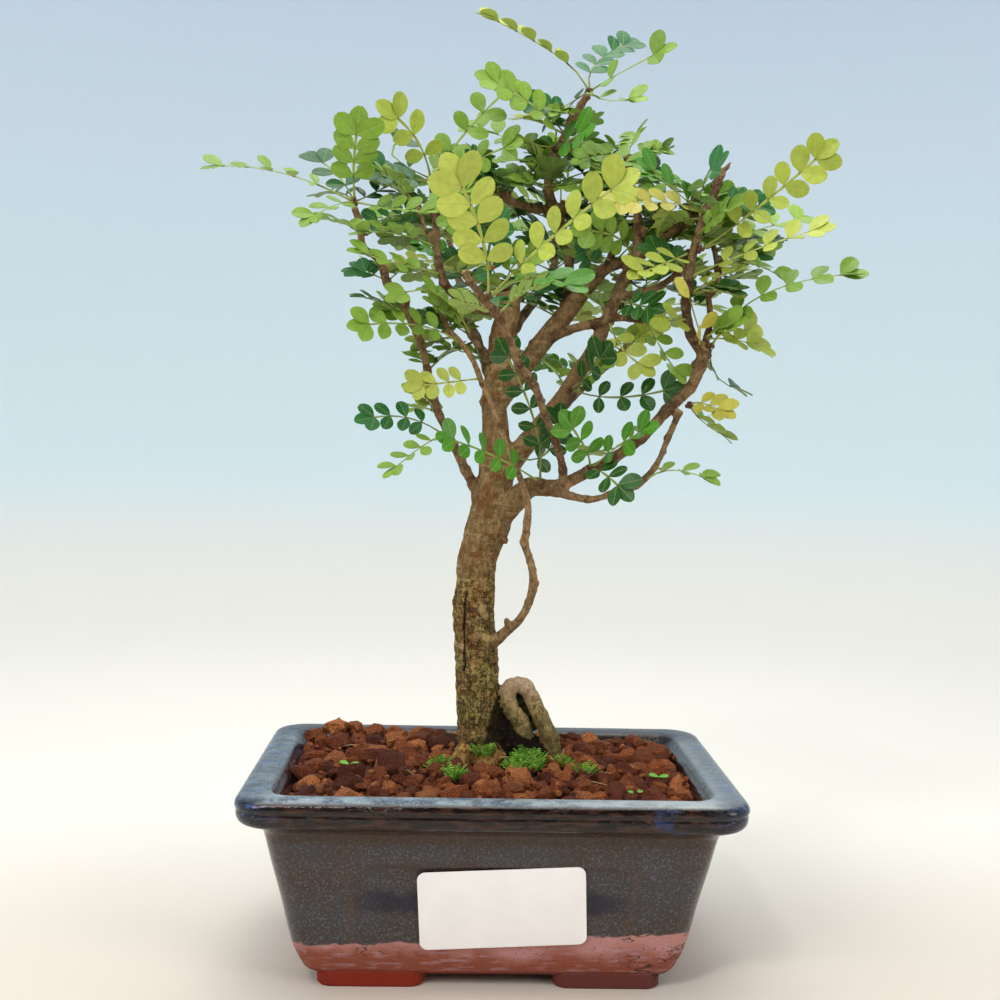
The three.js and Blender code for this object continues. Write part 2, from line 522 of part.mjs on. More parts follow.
// Leaves: a thin arched blade for each compound leaf, its leaflets cut to the rib.
// Sprays give the shoot they spring from; leaf rows are [middle, tip, lean, fold, pairs, blade].
const sprays = {
  left_tip: {
    at: [-47, -4, 240.6],
    leaves: [
      [[-71, -12, 248], [-92, -20, 247], 25, 20, 5, 6.5],
      [[-47, -8, 254], [-45, -12, 268], 85, 10, 4, 8.5],
      [[-53, -16, 237], [-61, -26, 230], 30, 15, 3, 6.5],
      [[-54, 4, 251], [-64, 10, 258], 40, 15, 3, 7.5],
      [[-33, -14, 237], [-21, -24, 235], 35, 25, 4, 6.5],
      [[-42, 6, 245], [-33, 16, 252], 60, 15, 3, 6.5],
      [[-54, 10, 246], [-61, 22, 246], 40, 15, 3, 6.5],
    ],
  },
  upright_mid: { at: [-20.7, -3, 227], leaves: [[[-33, -10, 230], [-47, -17, 229], 20, 40, 4, 6.5]] },
  upright_low: { at: [-19.2, -2.6, 218.6], leaves: [[[-31, -14, 220], [-47, -23, 223], 35, 15, 4, 7]] },
  inner_low: { at: [-9, 6, 200], leaves: [[[-21, -10, 212], [-35, -20, 208], 40, 15, 3, 7]] },
  sucker_top: { at: [-12.4, 3, 197.2], leaves: [[[-27, -8, 202], [-47, -18, 200], 55, 15, 5, 7]] },
  sucker_mid: { at: [-5.9, 3, 186], leaves: [[[-18, -4, 184], [-30, -8, 182], 60, 10, 4, 6.5]] },
  left_low: {
    at: [-17, 3.2, 167.5],
    leaves: [
      [[-31, 0, 173], [-45, -6, 171], 50, 10, 4, 6.5],
      [[-25, -10, 163], [-35, -20, 154], 10, 20, 4, 6],
    ],
  },
  fork_front: {
    at: [14, -3.2, 153],
    leaves: [
      [[-3, -14, 162], [-19, -26, 167], 65, 10, 5, 6.5],
      [[11, -12, 173], [-1, -22, 197], 75, 10, 6, 6.5],
    ],
  },
  front: {
    at: [-4.5, -44.8, 207.5],
    leaves: [
      [[-8, -56, 226], [-18, -66, 243], 75, 10, 5, 10],
      [[12, -58, 223], [34, -70, 240], 60, 15, 6, 8.5],
      [[8, -57, 212], [21, -68, 207], 25, 15, 4, 8],
    ],
  },
  crown_tip: {
    at: [28.4, 15, 282],
    leaves: [
      [[17, 10, 292], [-9, 6, 304], 25, 50, 5, 7.5],
      [[32, 28, 295], [47, 42, 307], 55, 15, 3, 10],
      [[40, 4, 287], [53, -6, 292], 55, 25, 2, 8],
      [[34, 2, 276], [44, -9, 275], 40, 25, 2, 7],
      [[22, 26, 280], [15, 36, 277], 60, 10, 2, 8],
    ],
  },
  crown_mid: {
    at: [17.6, 16, 263.4],
    leaves: [
      [[13, 6, 272], [-9, 0, 283], 55, 15, 5, 7.5],
      [[3, 26, 268], [-12, 36, 276], 40, 20, 4, 7.5],
      [[23, 6, 265], [28, -3, 266], 70, 10, 2, 8.5],
      [[32, 8, 259], [44, -3, 255], 45, 20, 4, 7],
    ],
  },
  crown_low: {
    at: [16.8, 22, 252],
    leaves: [
      [[14, 28, 260], [16, 34, 271], 80, 10, 4, 7.5],
      [[23, 34, 255], [23, 44, 266], 60, 15, 3, 7],
      [[37, 30, 260], [58, 42, 261], 60, 15, 4, 7.5],
    ],
  },
  side_end: {
    at: [-1.6, 17, 249],
    leaves: [
      [[1, 8, 249], [-7, -3, 251], 60, 15, 3, 7],
      [[7, 30, 243], [17, 40, 241], 60, 10, 3, 7.5],
    ],
  },
  upright_back: {
    at: [-23, 9, 250.6],
    leaves: [
      [[-29, 0, 263], [-40, -8, 270], 75, 10, 3, 8.5],
      [[-10, 14, 270], [5, 16, 285], 60, 15, 4, 8],
      [[-34, 4, 250], [-46, 4, 254], 45, 15, 4, 7.5],
      [[-37, 20, 261], [-30, 30, 268], 50, 15, 2, 7],
      [[-8, 0, 256], [5, -9, 260], 65, 10, 3, 7],
      [[-17, 0, 243], [-16, -9, 231], 70, 10, 3, 7],
    ],
  },
  right_top: {
    at: [64, -8, 239],
    leaves: [
      [[50, -16, 241], [29, -24, 238], 40, 15, 5, 7.5],
      [[53, -18, 244], [40, -30, 251], 50, 20, 3, 8],
      [[61, -18, 245], [67, -28, 254], 45, 15, 3, 8],
    ],
  },
  right_mid: {
    at: [63.2, -7.4, 228],
    leaves: [
      [[80, -16, 241], [100, -26, 259], 70, 10, 6, 8],
      [[82, 4, 236], [104, 14, 243], 35, 15, 4, 7.5],
    ],
  },
  right_inner: {
    at: [59.4, -5.4, 227],
    leaves: [
      [[50, -18, 222], [38, -30, 216], 40, 15, 4, 7.5],
      [[57, 8, 228], [51, 20, 226], 50, 10, 3, 7.5],
    ],
  },
  right_low: { at: [59.6, -6, 219.2], leaves: [[[78, -16, 227], [100, -26, 234], 40, 15, 5, 7.5]] },
  twig_mid: {
    at: [72.6, 5, 225],
    leaves: [
      [[83, 4, 225], [94, 0, 219], 20, 20, 3, 7],
      [[79, 16, 227], [90, 26, 233], 40, 15, 2, 7.5],
    ],
  },
  twig_low: {
    at: [70, 8.4, 233],
    leaves: [
      [[69, 16, 237], [71, 24, 244], 70, 10, 2, 8],
      [[72, 10, 244], [75, 6, 251], 75, 10, 2, 8.5],
    ],
  },
  knot: {
    at: [67, -7, 197.4],
    leaves: [
      [[83, -14, 214], [112, -22, 220], 35, 15, 5, 8],
      [[74, -2, 203], [86, 4, 203], 75, 10, 2, 7.5],
      [[71, 0, 188], [82, 6, 184], 30, 15, 2, 7],
    ],
  },
  knot_back: { at: [67.9, 2.4, 211.5], leaves: [[[64, 13, 214], [60, 21, 221], 20, 20, 4, 6.5]] },
  knot_front: { at: [63.6, -6.4, 197], leaves: [[[61, -16, 207], [53, -24, 216], 50, 20, 1, 8]] },
  right_under: {
    at: [60.6, -7.4, 179],
    leaves: [
      [[65, -12, 179], [73, -18, 175], 50, 15, 3, 6.5],
      [[67, -2, 173], [77, 4, 168], 25, 25, 3, 6.5],
    ],
  },
  lower_end: { at: [46.2, -11.9, 154.6], leaves: [[[56, -16, 158], [68, -22, 154], 20, 20, 3, 6.5]] },
  right_left: { at: [59.5, -6.2, 206], leaves: [[[54, -12, 205], [47, -18, 203], 50, 10, 1, 8]] },
  short_tip: { at: [48, 6, 206], leaves: [[[53, 0, 196], [59, -6, 186], 15, 25, 3, 6.5]] },
  short_mid: { at: [36.1, 10, 206.4], leaves: [[[41, 4, 196], [50, -2, 189], 60, 10, 3, 7]] },
  fork_right: {
    at: [30, -5.6, 157.6],
    leaves: [
      [[34, -15, 156], [41, -23, 149], 70, 10, 3, 7],
      [[27, -12, 165], [19, -20, 175], 70, 10, 3, 7.5],
      [[39, -12, 166], [48, -22, 172], 50, 15, 3, 7],
    ],
  },
  main_low: {
    at: [24, 11.4, 183.4],
    leaves: [
      [[30, 4, 189], [35, -4, 198], 60, 15, 3, 7],
      [[40, 4, 181], [59, -5, 185], 65, 10, 4, 7],
    ],
  },
  main_end: { at: [43.4, 8, 227], leaves: [[[36, 2, 233], [22, -5, 233], 75, 10, 4, 7.5]] },
  middle_end: { at: [32, 12.6, 221], leaves: [[[28, 6, 228], [24, -2, 236], 60, 15, 3, 7.5]] },
  main_fork: { at: [39, 9.6, 213], leaves: [[[45, 4, 211], [52, -4, 209], 75, 10, 3, 7]] },
  long_side: { at: [56, 3.8, 235.6], leaves: [[[46, 20, 242], [29, 24, 242], 60, 15, 4, 8]] },
  trunk_top: {
    at: [2.2, 12, 216.4],
    leaves: [
      [[13, 24, 216], [23, 33, 221], 65, 10, 3, 7],
      [[5, 6, 224], [15, 0, 229], 60, 10, 3, 7.5],
      [[-4, 4, 227], [2, -4, 239], 60, 15, 4, 8],
      [[-10, 24, 219], [-17, 33, 232], 60, 15, 4, 7],
    ],
  },
  crotch: { at: [6, 8.2, 160], leaves: [[[17, 6, 163], [20, 0, 178], 60, 10, 4, 7]] },
  back_left: {
    at: [-18, 56, 240.4],
    leaves: [
      [[-32, 56, 246], [-48, 57, 243], 15, 15, 4, 7],
      [[-28, 71, 243], [-37, 84, 237], -30, 15, 4, 7.5],
      [[-9, 70, 247], [-2, 82, 251], -40, 15, 3, 7.5],
      [[-20, 50, 254], [-22, 44, 266], 20, 15, 3, 7.5],
    ],
  },
  back_middle: {
    at: [23, 62, 250.4],
    leaves: [
      [[12, 74, 256], [2, 80, 256], -30, 15, 4, 7.5],
      [[34, 77, 255], [42, 88, 252], -30, 15, 4, 7.5],
      [[38, 64, 259], [52, 66, 260], 10, 15, 4, 7.5],
      [[22, 58, 264], [18, 54, 276], 40, 15, 3, 8],
      [[26, 78, 246], [28, 92, 236], -60, 15, 3, 7.5],
    ],
  },
  back_right: {
    at: [53, 58, 213.4],
    leaves: [
      [[70, 57, 217], [85, 56, 213], 0, 15, 4, 7.5],
      [[63, 74, 216], [72, 88, 211], -30, 15, 4, 7.5],
      [[43, 70, 217], [34, 82, 215], -40, 15, 4, 7],
      [[64, 52, 224], [74, 48, 234], 20, 15, 3, 7.5],
      [[44, 52, 224], [34, 44, 232], 30, 15, 3, 7.5],
    ],
  },
};

// The flat outline of a leaf as points (along, across) and faces, its base at zero: a petiole,
// leaflets in pairs cut to the rib, each rooted where the one before it ends, and an end leaflet
function leafOutline(length, pairs, blade) {
  const points = [];
  const faces = [];
  const add = (along, across) => points.push([along, across]) - 1;
  const endStart = length - blade * 0.95;
  const petiole = Math.min(Math.max(0.25 * length, 4), endStart * 0.5);
  const pitch = (endStart - petiole) / pairs;
  const halfWidth = Math.min(0.33 * blade, 0.38 * pitch);
  const slant = THREE.MathUtils.degToRad(62);
  const leaflet = (side, near, far) => {
    const rootAlong = (points[near][0] + points[far][0]) / 2;
    const corner = (forward, across) => add(
      rootAlong + forward * Math.cos(slant) - across * Math.sin(slant),
      side * (RIB_HALF_WIDTH + forward * Math.sin(slant) + across * Math.cos(slant)),
    );
    const low = corner(0.8 * blade, halfWidth);
    const high = corner(0.9 * blade, -0.85 * halfWidth);
    if (side > 0) faces.push([near, far, high], [near, high, low]);
    else faces.push([near, high, far], [near, low, high]);
  };
  let left = add(0, RIB_HALF_WIDTH);
  let right = add(0, -RIB_HALF_WIDTH);
  const growRib = (along) => {
    const before = { left, right };
    left = add(along, RIB_HALF_WIDTH);
    right = add(along, -RIB_HALF_WIDTH);
    faces.push([before.right, right, left], [before.right, left, before.left]);
    return before;
  };
  growRib(petiole);
  for (let pair = 1; pair <= pairs; pair++) {
    const before = growRib(petiole + pair * pitch);
    leaflet(1, before.left, left);
    leaflet(-1, before.right, right);
  }
  const endRight = add(length - blade * 0.1, -blade * 0.3);
  const endLeft = add(length - blade * 0.1, blade * 0.3);
  faces.push([right, endRight, endLeft], [right, endLeft, left]);
  return { points, faces };
}

// The outline laid along the leaf's arch, its two halves folded up from the rib, made thick
function leafSolid(base, row) {
  const [middle, tip, lean, fold, truePairs, blade] = row;
  const through = new THREE.Vector3(...middle);
  const end = new THREE.Vector3(...tip);
  const start = new THREE.Vector3(...base);
  start.addScaledVector(through.clone().sub(start).normalize(), LEAF_START);
  const control = through.clone().multiplyScalar(2)
    .addScaledVector(start, -0.5).addScaledVector(end, -0.5);
  const arch = new THREE.QuadraticBezierCurve3(start, control, end);
  const length = arch.getLength();
  const pairs = Math.min(truePairs, MOST_PAIRS);
  const coarser = pairs < truePairs ? 1.12 : 1;
  const { points, faces } = leafOutline(length, pairs, blade * coarser);
  const leanAngle = THREE.MathUtils.degToRad(lean);
  const foldAngle = THREE.MathUtils.degToRad(fold);
  const facing = new THREE.Vector3(0, -Math.sin(leanAngle), Math.cos(leanAngle));
  const corners = [];
  for (const level of [0.5, -0.5]) {
    for (const [along, across] of points) {
      const ratio = Math.min(along / length, 1);
      const tangent = arch.getTangentAt(ratio);
      const up = facing.clone().addScaledVector(tangent, -facing.dot(tangent)).normalize();
      const sideways = up.clone().cross(tangent);
      const beyondRib = Math.max(0, Math.abs(across) - RIB_HALF_WIDTH);
      const inRib = Math.abs(across) - beyondRib;
      const sign = Math.sign(across);
      const flat = sign * (inRib + beyondRib * Math.cos(foldAngle));
      const lift = beyondRib * Math.sin(foldAngle);
      const faceUp = up.clone();
      if (beyondRib > 0.01) {
        faceUp.multiplyScalar(Math.cos(foldAngle))
          .addScaledVector(sideways, -sign * Math.sin(foldAngle));
      }
      corners.push(arch.getPointAt(ratio)
        .addScaledVector(sideways, flat)
        .addScaledVector(up, lift)
        .addScaledVector(faceUp, level * BLADE_THICKNESS));
    }
  }
  const below = points.length;
  const index = [];
  const edges = new Map();
  for (const [a, b, c] of faces) {
    index.push(a, b, c, below + a, below + c, below + b);
    for (const [from, to] of [[a, b], [b, c], [c, a]]) {
      if (!edges.delete(`${to},${from}`)) edges.set(`${from},${to}`, [from, to]);
    }
  }
  for (const [from, to] of edges.values()) {
    index.push(below + from, below + to, to, below + from, to, from);
  }
  const geometry = new THREE.BufferGeometry().setFromPoints(corners);
  geometry.setIndex(index);
  return toSolid(geometry);
}

function spraySolid({ at, leaves }) {
  const parts = leaves.map((row) => leafSolid(at, row));
  if (leaves.length > 1) {
    const spur = new THREE.OctahedronGeometry(SPUR_RADIUS, 0);
    spur.rotateZ(0.4);
    spur.translate(...at);
    parts.push(toSolid(spur));
  }
  return largestBody(joinAll(parts).subtract(treeRoom));
}

for (const [name, spray] of Object.entries(sprays)) {
  const leafGreen = new THREE.MeshStandardMaterial({ color: '#6f9a2e', roughness: 0.5, metalness: 0 });
  addPiece(`spray_${name}`, spraySolid(spray), leafGreen);
}

// Origin: the middle of the whole object's box, on the surface that the feet stand on
const reach = new THREE.Box3().setFromObject(group);
const middle = reach.getCenter(new THREE.Vector3());
group.position.set(-middle.x, -middle.y, 0);

export default group;
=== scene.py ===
# A pepper tree kept small in a glazed pot: metres, +Z up, front towards -Y.
import math
import random

import bpy
import numpy as np
from mathutils import Matrix, Vector, noise


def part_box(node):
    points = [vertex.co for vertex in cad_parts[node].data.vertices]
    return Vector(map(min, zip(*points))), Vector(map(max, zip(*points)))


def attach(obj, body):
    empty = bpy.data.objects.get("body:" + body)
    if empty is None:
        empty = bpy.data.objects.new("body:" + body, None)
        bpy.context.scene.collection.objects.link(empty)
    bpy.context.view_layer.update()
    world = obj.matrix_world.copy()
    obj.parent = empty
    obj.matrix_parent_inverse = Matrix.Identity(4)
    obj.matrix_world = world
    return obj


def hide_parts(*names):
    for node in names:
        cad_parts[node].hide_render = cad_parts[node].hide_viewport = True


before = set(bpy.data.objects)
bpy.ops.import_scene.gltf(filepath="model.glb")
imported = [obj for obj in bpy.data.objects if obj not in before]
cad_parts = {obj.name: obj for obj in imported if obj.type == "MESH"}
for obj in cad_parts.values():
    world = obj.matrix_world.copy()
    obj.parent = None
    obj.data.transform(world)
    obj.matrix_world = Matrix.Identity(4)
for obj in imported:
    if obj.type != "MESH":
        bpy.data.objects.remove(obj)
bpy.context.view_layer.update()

# Camera: level with the trunk's fork and looking slightly down, turned and rolled as the
# photograph's was. Places are millimetres from the middle of the pot, on the table.
MM = 0.001
pot_low, pot_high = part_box("pot")
POT_CENTRE = np.array([(pot_low[0] + pot_high[0]) / 2, (pot_low[1] + pot_high[1]) / 2, 0])


def place(x, y, z):
    return Vector(POT_CENTRE) + Vector((x, y, z)) * MM


CAMERA_AT = (-12.23, -445.6, 168.29)
CAMERA_YAW = math.radians(-1.74)
CAMERA_PITCH = math.radians(2.76)
CAMERA_ROLL = math.radians(1.26)
SENSOR_WIDTH = 36
LENS = 49.585
forward = Vector((
    -math.sin(CAMERA_YAW) * math.cos(CAMERA_PITCH),
    math.cos(CAMERA_YAW) * math.cos(CAMERA_PITCH),
    -math.sin(CAMERA_PITCH),
))
level_right = forward.cross(Vector((0, 0, 1))).normalized()
level_up = level_right.cross(forward)
right = level_right * math.cos(CAMERA_ROLL) + level_up * math.sin(CAMERA_ROLL)
up = level_up * math.cos(CAMERA_ROLL) - level_right * math.sin(CAMERA_ROLL)
camera_data = bpy.data.cameras.new("camera")
camera_data.sensor_width = SENSOR_WIDTH
camera_data.lens = LENS
camera_data.clip_start = 0.01
camera = bpy.data.objects.new("camera", camera_data)
camera.matrix_world = (
    Matrix.Translation(place(*CAMERA_AT)) @ Matrix((right, up, -forward)).transposed().to_4x4()
)
bpy.context.collection.objects.link(camera)
bpy.context.scene.camera = camera

# Pot: a rounded rectangle of brown stoneware pressed in a mould, glazed dark blue over iron.
# The glaze is wiped off above the foot, where the bare clay shows, and it breaks on the lip.
LIP_HALF_X = 76
LIP_HALF_Y = 54.65
BASE_RADIUS = 6.5
WALL_LEAN = math.radians(10.7)
FLOOR_TOP = 10
PANEL_MIDDLE = 28
PANEL_FACE_Y = 41.55
PANEL_RADIUS = 4.5
SCOOPED = 0.086
HOLE_X = 27
HOLE_RADIUS = 6
FOOT_X = 36
FOOT_Y = 28.25
FOOT_RADIUS = 4.6
# Rows of height and half sizes, from a foot's sole up into the pot, and from the panel's floor out
FOOT_LEVELS = [(0, 15.9, 6.5), (0.5, 16.4, 6.9), (5, 16.6, 7.2)]
PANEL_LEVELS = [(0, 40, 10.5), (0.4, 41.3, 11.8), (0.75, 42.2, 12.7), (6, 42.6, 13.1)]
# Rows of height and distance in from the widest line of the lip, up the outside and down inside
POT_PROFILE = [
    (4, 20.6), (5, 19.4), (7, 18.3), (10.3, 16.9), (13.5, 15.8), (20, 14.3), (26, 13.1),
    (32, 11.7), (39, 10.0), (46, 8.5), (49.6, 7.5), (51.2, 5.9), (52.4, 3.6), (53.4, 1.6),
    (54.8, 0.6), (56.6, 0.3), (57.6, 0.5), (58.6, 0), (60.1, 0.3), (61.2, 1.5), (61.7, 3.6),
    (61.5, 7.4), (60.9, 9.6), (59.3, 11.2), (55.7, 13.2), (34, 17.6), (14, 22.3), (FLOOR_TOP, 25),
]


def start_clean():
    if bpy.context.mode != "OBJECT":
        bpy.ops.object.mode_set(mode="OBJECT")
    bpy.ops.object.select_all(action="DESELECT")


def choose(piece):
    start_clean()
    bpy.context.view_layer.objects.active = piece
    piece.select_set(True)


def settle(piece, name):
    """Names a finished piece and puts its place into its mesh."""
    choose(piece)
    bpy.ops.object.transform_apply(location=True, rotation=True, scale=True)
    piece.name = name
    piece.data.name = name
    return piece


def curve_through(rows, steps):
    """A smooth curve through rows of numbers, with so many points from one row to the next."""
    rows = np.array(rows, float)
    ends = np.vstack([2 * rows[0] - rows[1], rows, 2 * rows[-1] - rows[-2]])
    points = []
    for a, b, c, d in zip(ends, ends[1:], ends[2:], ends[3:]):
        for t in np.arange(steps) / steps:
            points.append(
                0.5 * (2 * b + (c - a) * t + (2 * a - 5 * b + 4 * c - d) * t * t
                       + (3 * b - a - 3 * c + d) * t ** 3)
            )
    points.append(rows[-1])
    return np.array(points)


def rounded_block(levels, radius, segments=7, profile=0.5):
    """A block with rounded corners, raised through rows of height and half sizes."""
    start_clean()
    z, half_x, half_y = levels[0]
    bpy.ops.mesh.primitive_plane_add(size=2, location=place(0, 0, z))
    bpy.ops.object.mode_set(mode="EDIT")
    bpy.ops.mesh.select_all(action="SELECT")
    size = (half_x * MM, half_y * MM, 1)
    bpy.ops.transform.resize(value=size, center_override=place(0, 0, z))
    bpy.ops.mesh.bevel(
        offset=radius * MM, segments=segments, profile=profile, affect="VERTICES"
    )
    for (z, half_x, half_y), (next_z, next_x, next_y) in zip(levels, levels[1:]):
        bpy.ops.mesh.extrude_region_move(
            TRANSFORM_OT_translate={"value": (0, 0, (next_z - z) * MM)}
        )
        bpy.ops.transform.resize(
            value=(next_x / half_x, next_y / half_y, 1), center_override=place(0, 0, next_z)
        )
    bpy.ops.mesh.select_all(action="SELECT")
    bpy.ops.mesh.normals_make_consistent(inside=False)
    bpy.ops.object.mode_set(mode="OBJECT")
    return bpy.context.object


def change(piece, kind, **settings):
    """Applies a modifier of a kind, with its settings, to a piece."""
    choose(piece)
    modifier = piece.modifiers.new(kind, kind)
    for setting, value in settings.items():
        setattr(modifier, setting, value)
    bpy.ops.object.modifier_apply(modifier=modifier.name)


def combine(piece, tool, operation):
    """Fuses a tool to a piece or cuts it out, and the tool is gone."""
    change(piece, "BOOLEAN", object=tool, operation=operation, solver="EXACT")
    bpy.data.objects.remove(tool, do_unlink=True)


def shade_smooth(piece, degrees):
    """Shades a piece smooth where its faces meet at less than so many degrees."""
    choose(piece)
    bpy.ops.object.shade_smooth_by_angle(angle=math.radians(degrees))


def in_from_lip(rows):
    """Heights with the half sizes there, from rows of height and distance in from the lip."""
    return [(z, LIP_HALF_X - inset, LIP_HALF_Y - inset) for z, inset in rows]


pot = rounded_block(in_from_lip(curve_through(POT_PROFILE, 3)), BASE_RADIUS)
for foot_x in (-FOOT_X, FOOT_X):
    for foot_y in (-FOOT_Y, FOOT_Y):
        foot = rounded_block(FOOT_LEVELS, FOOT_RADIUS)
        foot.location += Vector((foot_x, foot_y, 0)) * MM
        combine(pot, foot, "UNION")
for side in (1, -1):
    # Each long wall has a shallow sunk panel whose corners are scooped
    panel = rounded_block(PANEL_LEVELS, PANEL_RADIUS, segments=8, profile=SCOOPED)
    panel.location = place(0, -side * PANEL_FACE_Y, PANEL_MIDDLE)
    panel.rotation_euler = (side * (math.pi / 2 + WALL_LEAN), 0, 0)
    combine(pot, panel, "DIFFERENCE")
    start_clean()
    bpy.ops.mesh.primitive_cylinder_add(
        vertices=28, radius=HOLE_RADIUS * MM, depth=20 * MM, location=place(side * HOLE_X, 0, 7)
    )
    combine(pot, bpy.context.object, "DIFFERENCE")
shade_smooth(pot, 32)
settle(pot, "glazed_pot")


def tone(hex_colour):
    """An sRGB hex colour as linear red, green, blue and alpha."""
    parts = [int(hex_colour[i:i + 2], 16) / 255 for i in (1, 3, 5)]
    return tuple(c / 12.92 if c <= 0.04045 else ((c + 0.055) / 1.055) ** 2.4 for c in parts) + (1,)


def colour_of(hex_colour):
    return np.array(tone(hex_colour)[:3])


# What most nodes of two kinds are set to
USUAL = {"MapRange": {"interpolation_type": "SMOOTHSTEP"}, "Mix": {"data_type": "RGBA"}}


def node(material, kind, inputs=(), read=0, **settings):
    """Adds a node, sets or links the inputs given by name or number, and gives its output."""
    tree = material.node_tree
    made = tree.nodes.new("ShaderNode" + kind)
    for setting, value in {**USUAL.get(kind, {}), **settings}.items():
        setattr(made, setting, value)
    for socket, value in dict(inputs).items():
        if isinstance(value, bpy.types.NodeSocket):
            tree.links.new(value, made.inputs[socket])
        else:
            made.inputs[socket].default_value = tone(value) if isinstance(value, str) else value
    return made.outputs[2 if kind == "Mix" else read]


def coat(material, **looks):
    """Sets or links the inputs of a material's shader."""
    surface = material.node_tree.nodes["Principled BSDF"]
    for name, value in looks.items():
        socket = surface.inputs[name.replace("_", " ")]
        if isinstance(value, bpy.types.NodeSocket):
            material.node_tree.links.new(value, socket)
        else:
            socket.default_value = value


def new_finish(name, **constants):
    """A material with its shader's constants, and a place on the piece in millimetres."""
    material = bpy.data.materials.new(name)
    material.use_nodes = True
    coat(material, Metallic=0, **constants)
    spot = node(material, "TexCoord", read="Object")
    scale = (1 / MM, 1 / MM, 1 / MM)
    middle = tuple(-POT_CENTRE / MM)
    return material, node(material, "Mapping", {"Vector": spot, "Scale": scale, "Location": middle})


def line_near(material, value, level, wide, narrow, share=1):
    """A line where a value is near a level: none beyond the wide distance, all in the narrow."""
    off = node(material, "Math", {0: value, 1: level}, operation="SUBTRACT")
    off = node(material, "Math", {0: off}, operation="ABSOLUTE")
    return node(material, "MapRange", {0: off, 1: wide, 2: narrow, 4: share})


def wear(piece, material):
    piece.data.materials.clear()
    piece.data.materials.append(material)


# Stoneware with a dipped glaze: glassy where it is thick, dry and matt on the bare band
glaze, on_pot = new_finish(
    "dipped_blue_iron_glaze_on_stoneware", IOR=1.5, Specular_IOR_Level=0.45
)
across, deep, upward = node(glaze, "SeparateXYZ", {0: on_pot}, read=slice(3))
reach = node(glaze, "Math", {0: across}, operation="ABSOLUTE")
cloud, drift, speck, grain = (
    node(glaze, "TexNoise", {"Vector": on_pot, "Scale": scale, "Detail": detail})
    for scale, detail in ((0.07, 4), (0.2, 3), (1.5, 2.5), (2.6, 3))
)
flowing = node(glaze, "Mapping", {"Vector": on_pot, "Scale": (0.3, 1, 1.4)})
streak = node(glaze, "TexNoise", {"Vector": flowing, "Scale": 0.55, "Detail": 4})
# The wiped edge of the glaze runs from 14 mm on the left to 19 mm on the right, and wanders
edge = node(glaze, "Math", {0: across, 1: 0.045, 2: 14.6}, operation="MULTIPLY_ADD")
edge = node(glaze, "Math", {0: drift, 1: 3.6, 2: edge}, operation="MULTIPLY_ADD")
over_edge = node(glaze, "Math", {0: upward, 1: edge}, operation="SUBTRACT")
glazed = node(glaze, "MapRange", {0: over_edge, 1: -0.35, 2: 0.45})
# Bare clay: orange brown low down, mauve where the glaze has fumed it, with dark pits of iron
fumed = node(glaze, "Math", {0: across, 1: 0.05, 2: over_edge}, operation="MULTIPLY_ADD")
fumed = node(glaze, "Math", {0: cloud, 1: 16, 2: fumed}, operation="MULTIPLY_ADD")
fumed = node(glaze, "MapRange", {0: fumed, 1: 0.5, 2: 7})
clay_tone = node(glaze, "Mix", {0: fumed, 6: "#8E4A36", 7: "#B8827C"})
milky = node(glaze, "MapRange", {0: streak, 1: 0.5, 2: 0.68, 4: 0.6})
left_right = node(glaze, "MapRange", {0: across, 1: -30, 2: 30})
foot_tone = node(glaze, "Mix", {0: left_right, 6: "#822000", 7: "#622C26"})
at_foot = node(glaze, "MapRange", {0: upward, 1: 6.0, 2: 4.4})
iron = node(glaze, "MapRange", {0: speck, 1: 0.62, 2: 0.7, 4: 0.7})
# Wandering hairline cracks near the corners of the bare band, where the clay shrank as it dried
level = node(glaze, "Mapping", {"Vector": on_pot, "Scale": (0.6, 0.6, 1.6)})
crack = node(glaze, "TexNoise", {"Vector": level, "Scale": 0.1, "Detail": 4, "Roughness": 0.6})
crack = line_near(glaze, crack, 0.5, 0.018, 0.005)
cracked = node(glaze, "TexNoise", {"Vector": on_pot, "Scale": 0.045, "Detail": 1})
from_middle = node(glaze, "Math", {0: deep}, operation="ABSOLUTE")
from_middle = node(glaze, "Math", {0: from_middle, 1: reach}, operation="ADD")
cracked = node(glaze, "Math", {0: from_middle, 1: 0.01, 2: cracked}, operation="MULTIPLY_ADD")
cracked = node(glaze, "MapRange", {0: cracked, 1: 1.3, 2: 1.36, 4: 0.9})
crack = node(glaze, "Math", {0: crack, 1: cracked}, operation="MULTIPLY")
for share, layer in (
    (milky, "#AE8A92"), (at_foot, foot_tone), (iron, "#3E2018"), (crack, "#2E150E"),
):
    clay_tone = node(glaze, "Mix", {0: share, 6: clay_tone, 7: layer})
# Glaze: warm near-black brown under a thin blue film that breaks into specks 0.5 mm wide
film = node(glaze, "MapRange", {0: cloud, 1: 0.36, 2: 0.62})
glaze_tone = node(glaze, "Mix", {0: film, 6: "#3D3128", 7: "#3B3838"})
flecks = node(glaze, "MapRange", {0: speck, 1: 0.5, 2: 0.68, 4: 0.42})
# A navy band lies along the middle of the panel, and a brown line along its top
wavy = node(glaze, "Math", {0: drift, 1: 5, 2: upward}, operation="MULTIPLY_ADD")
navy = line_near(glaze, wavy, 31, 5.2, 1.6)
inside = node(glaze, "MapRange", {0: reach, 1: 47, 2: 30, 4: 0.86})
navy = node(glaze, "Math", {0: navy, 1: inside}, operation="MULTIPLY")
brown = line_near(glaze, wavy, 42.5, 2.2, 0.4, 0.6)
brown = node(glaze, "Math", {0: brown, 1: inside}, operation="MULTIPLY")
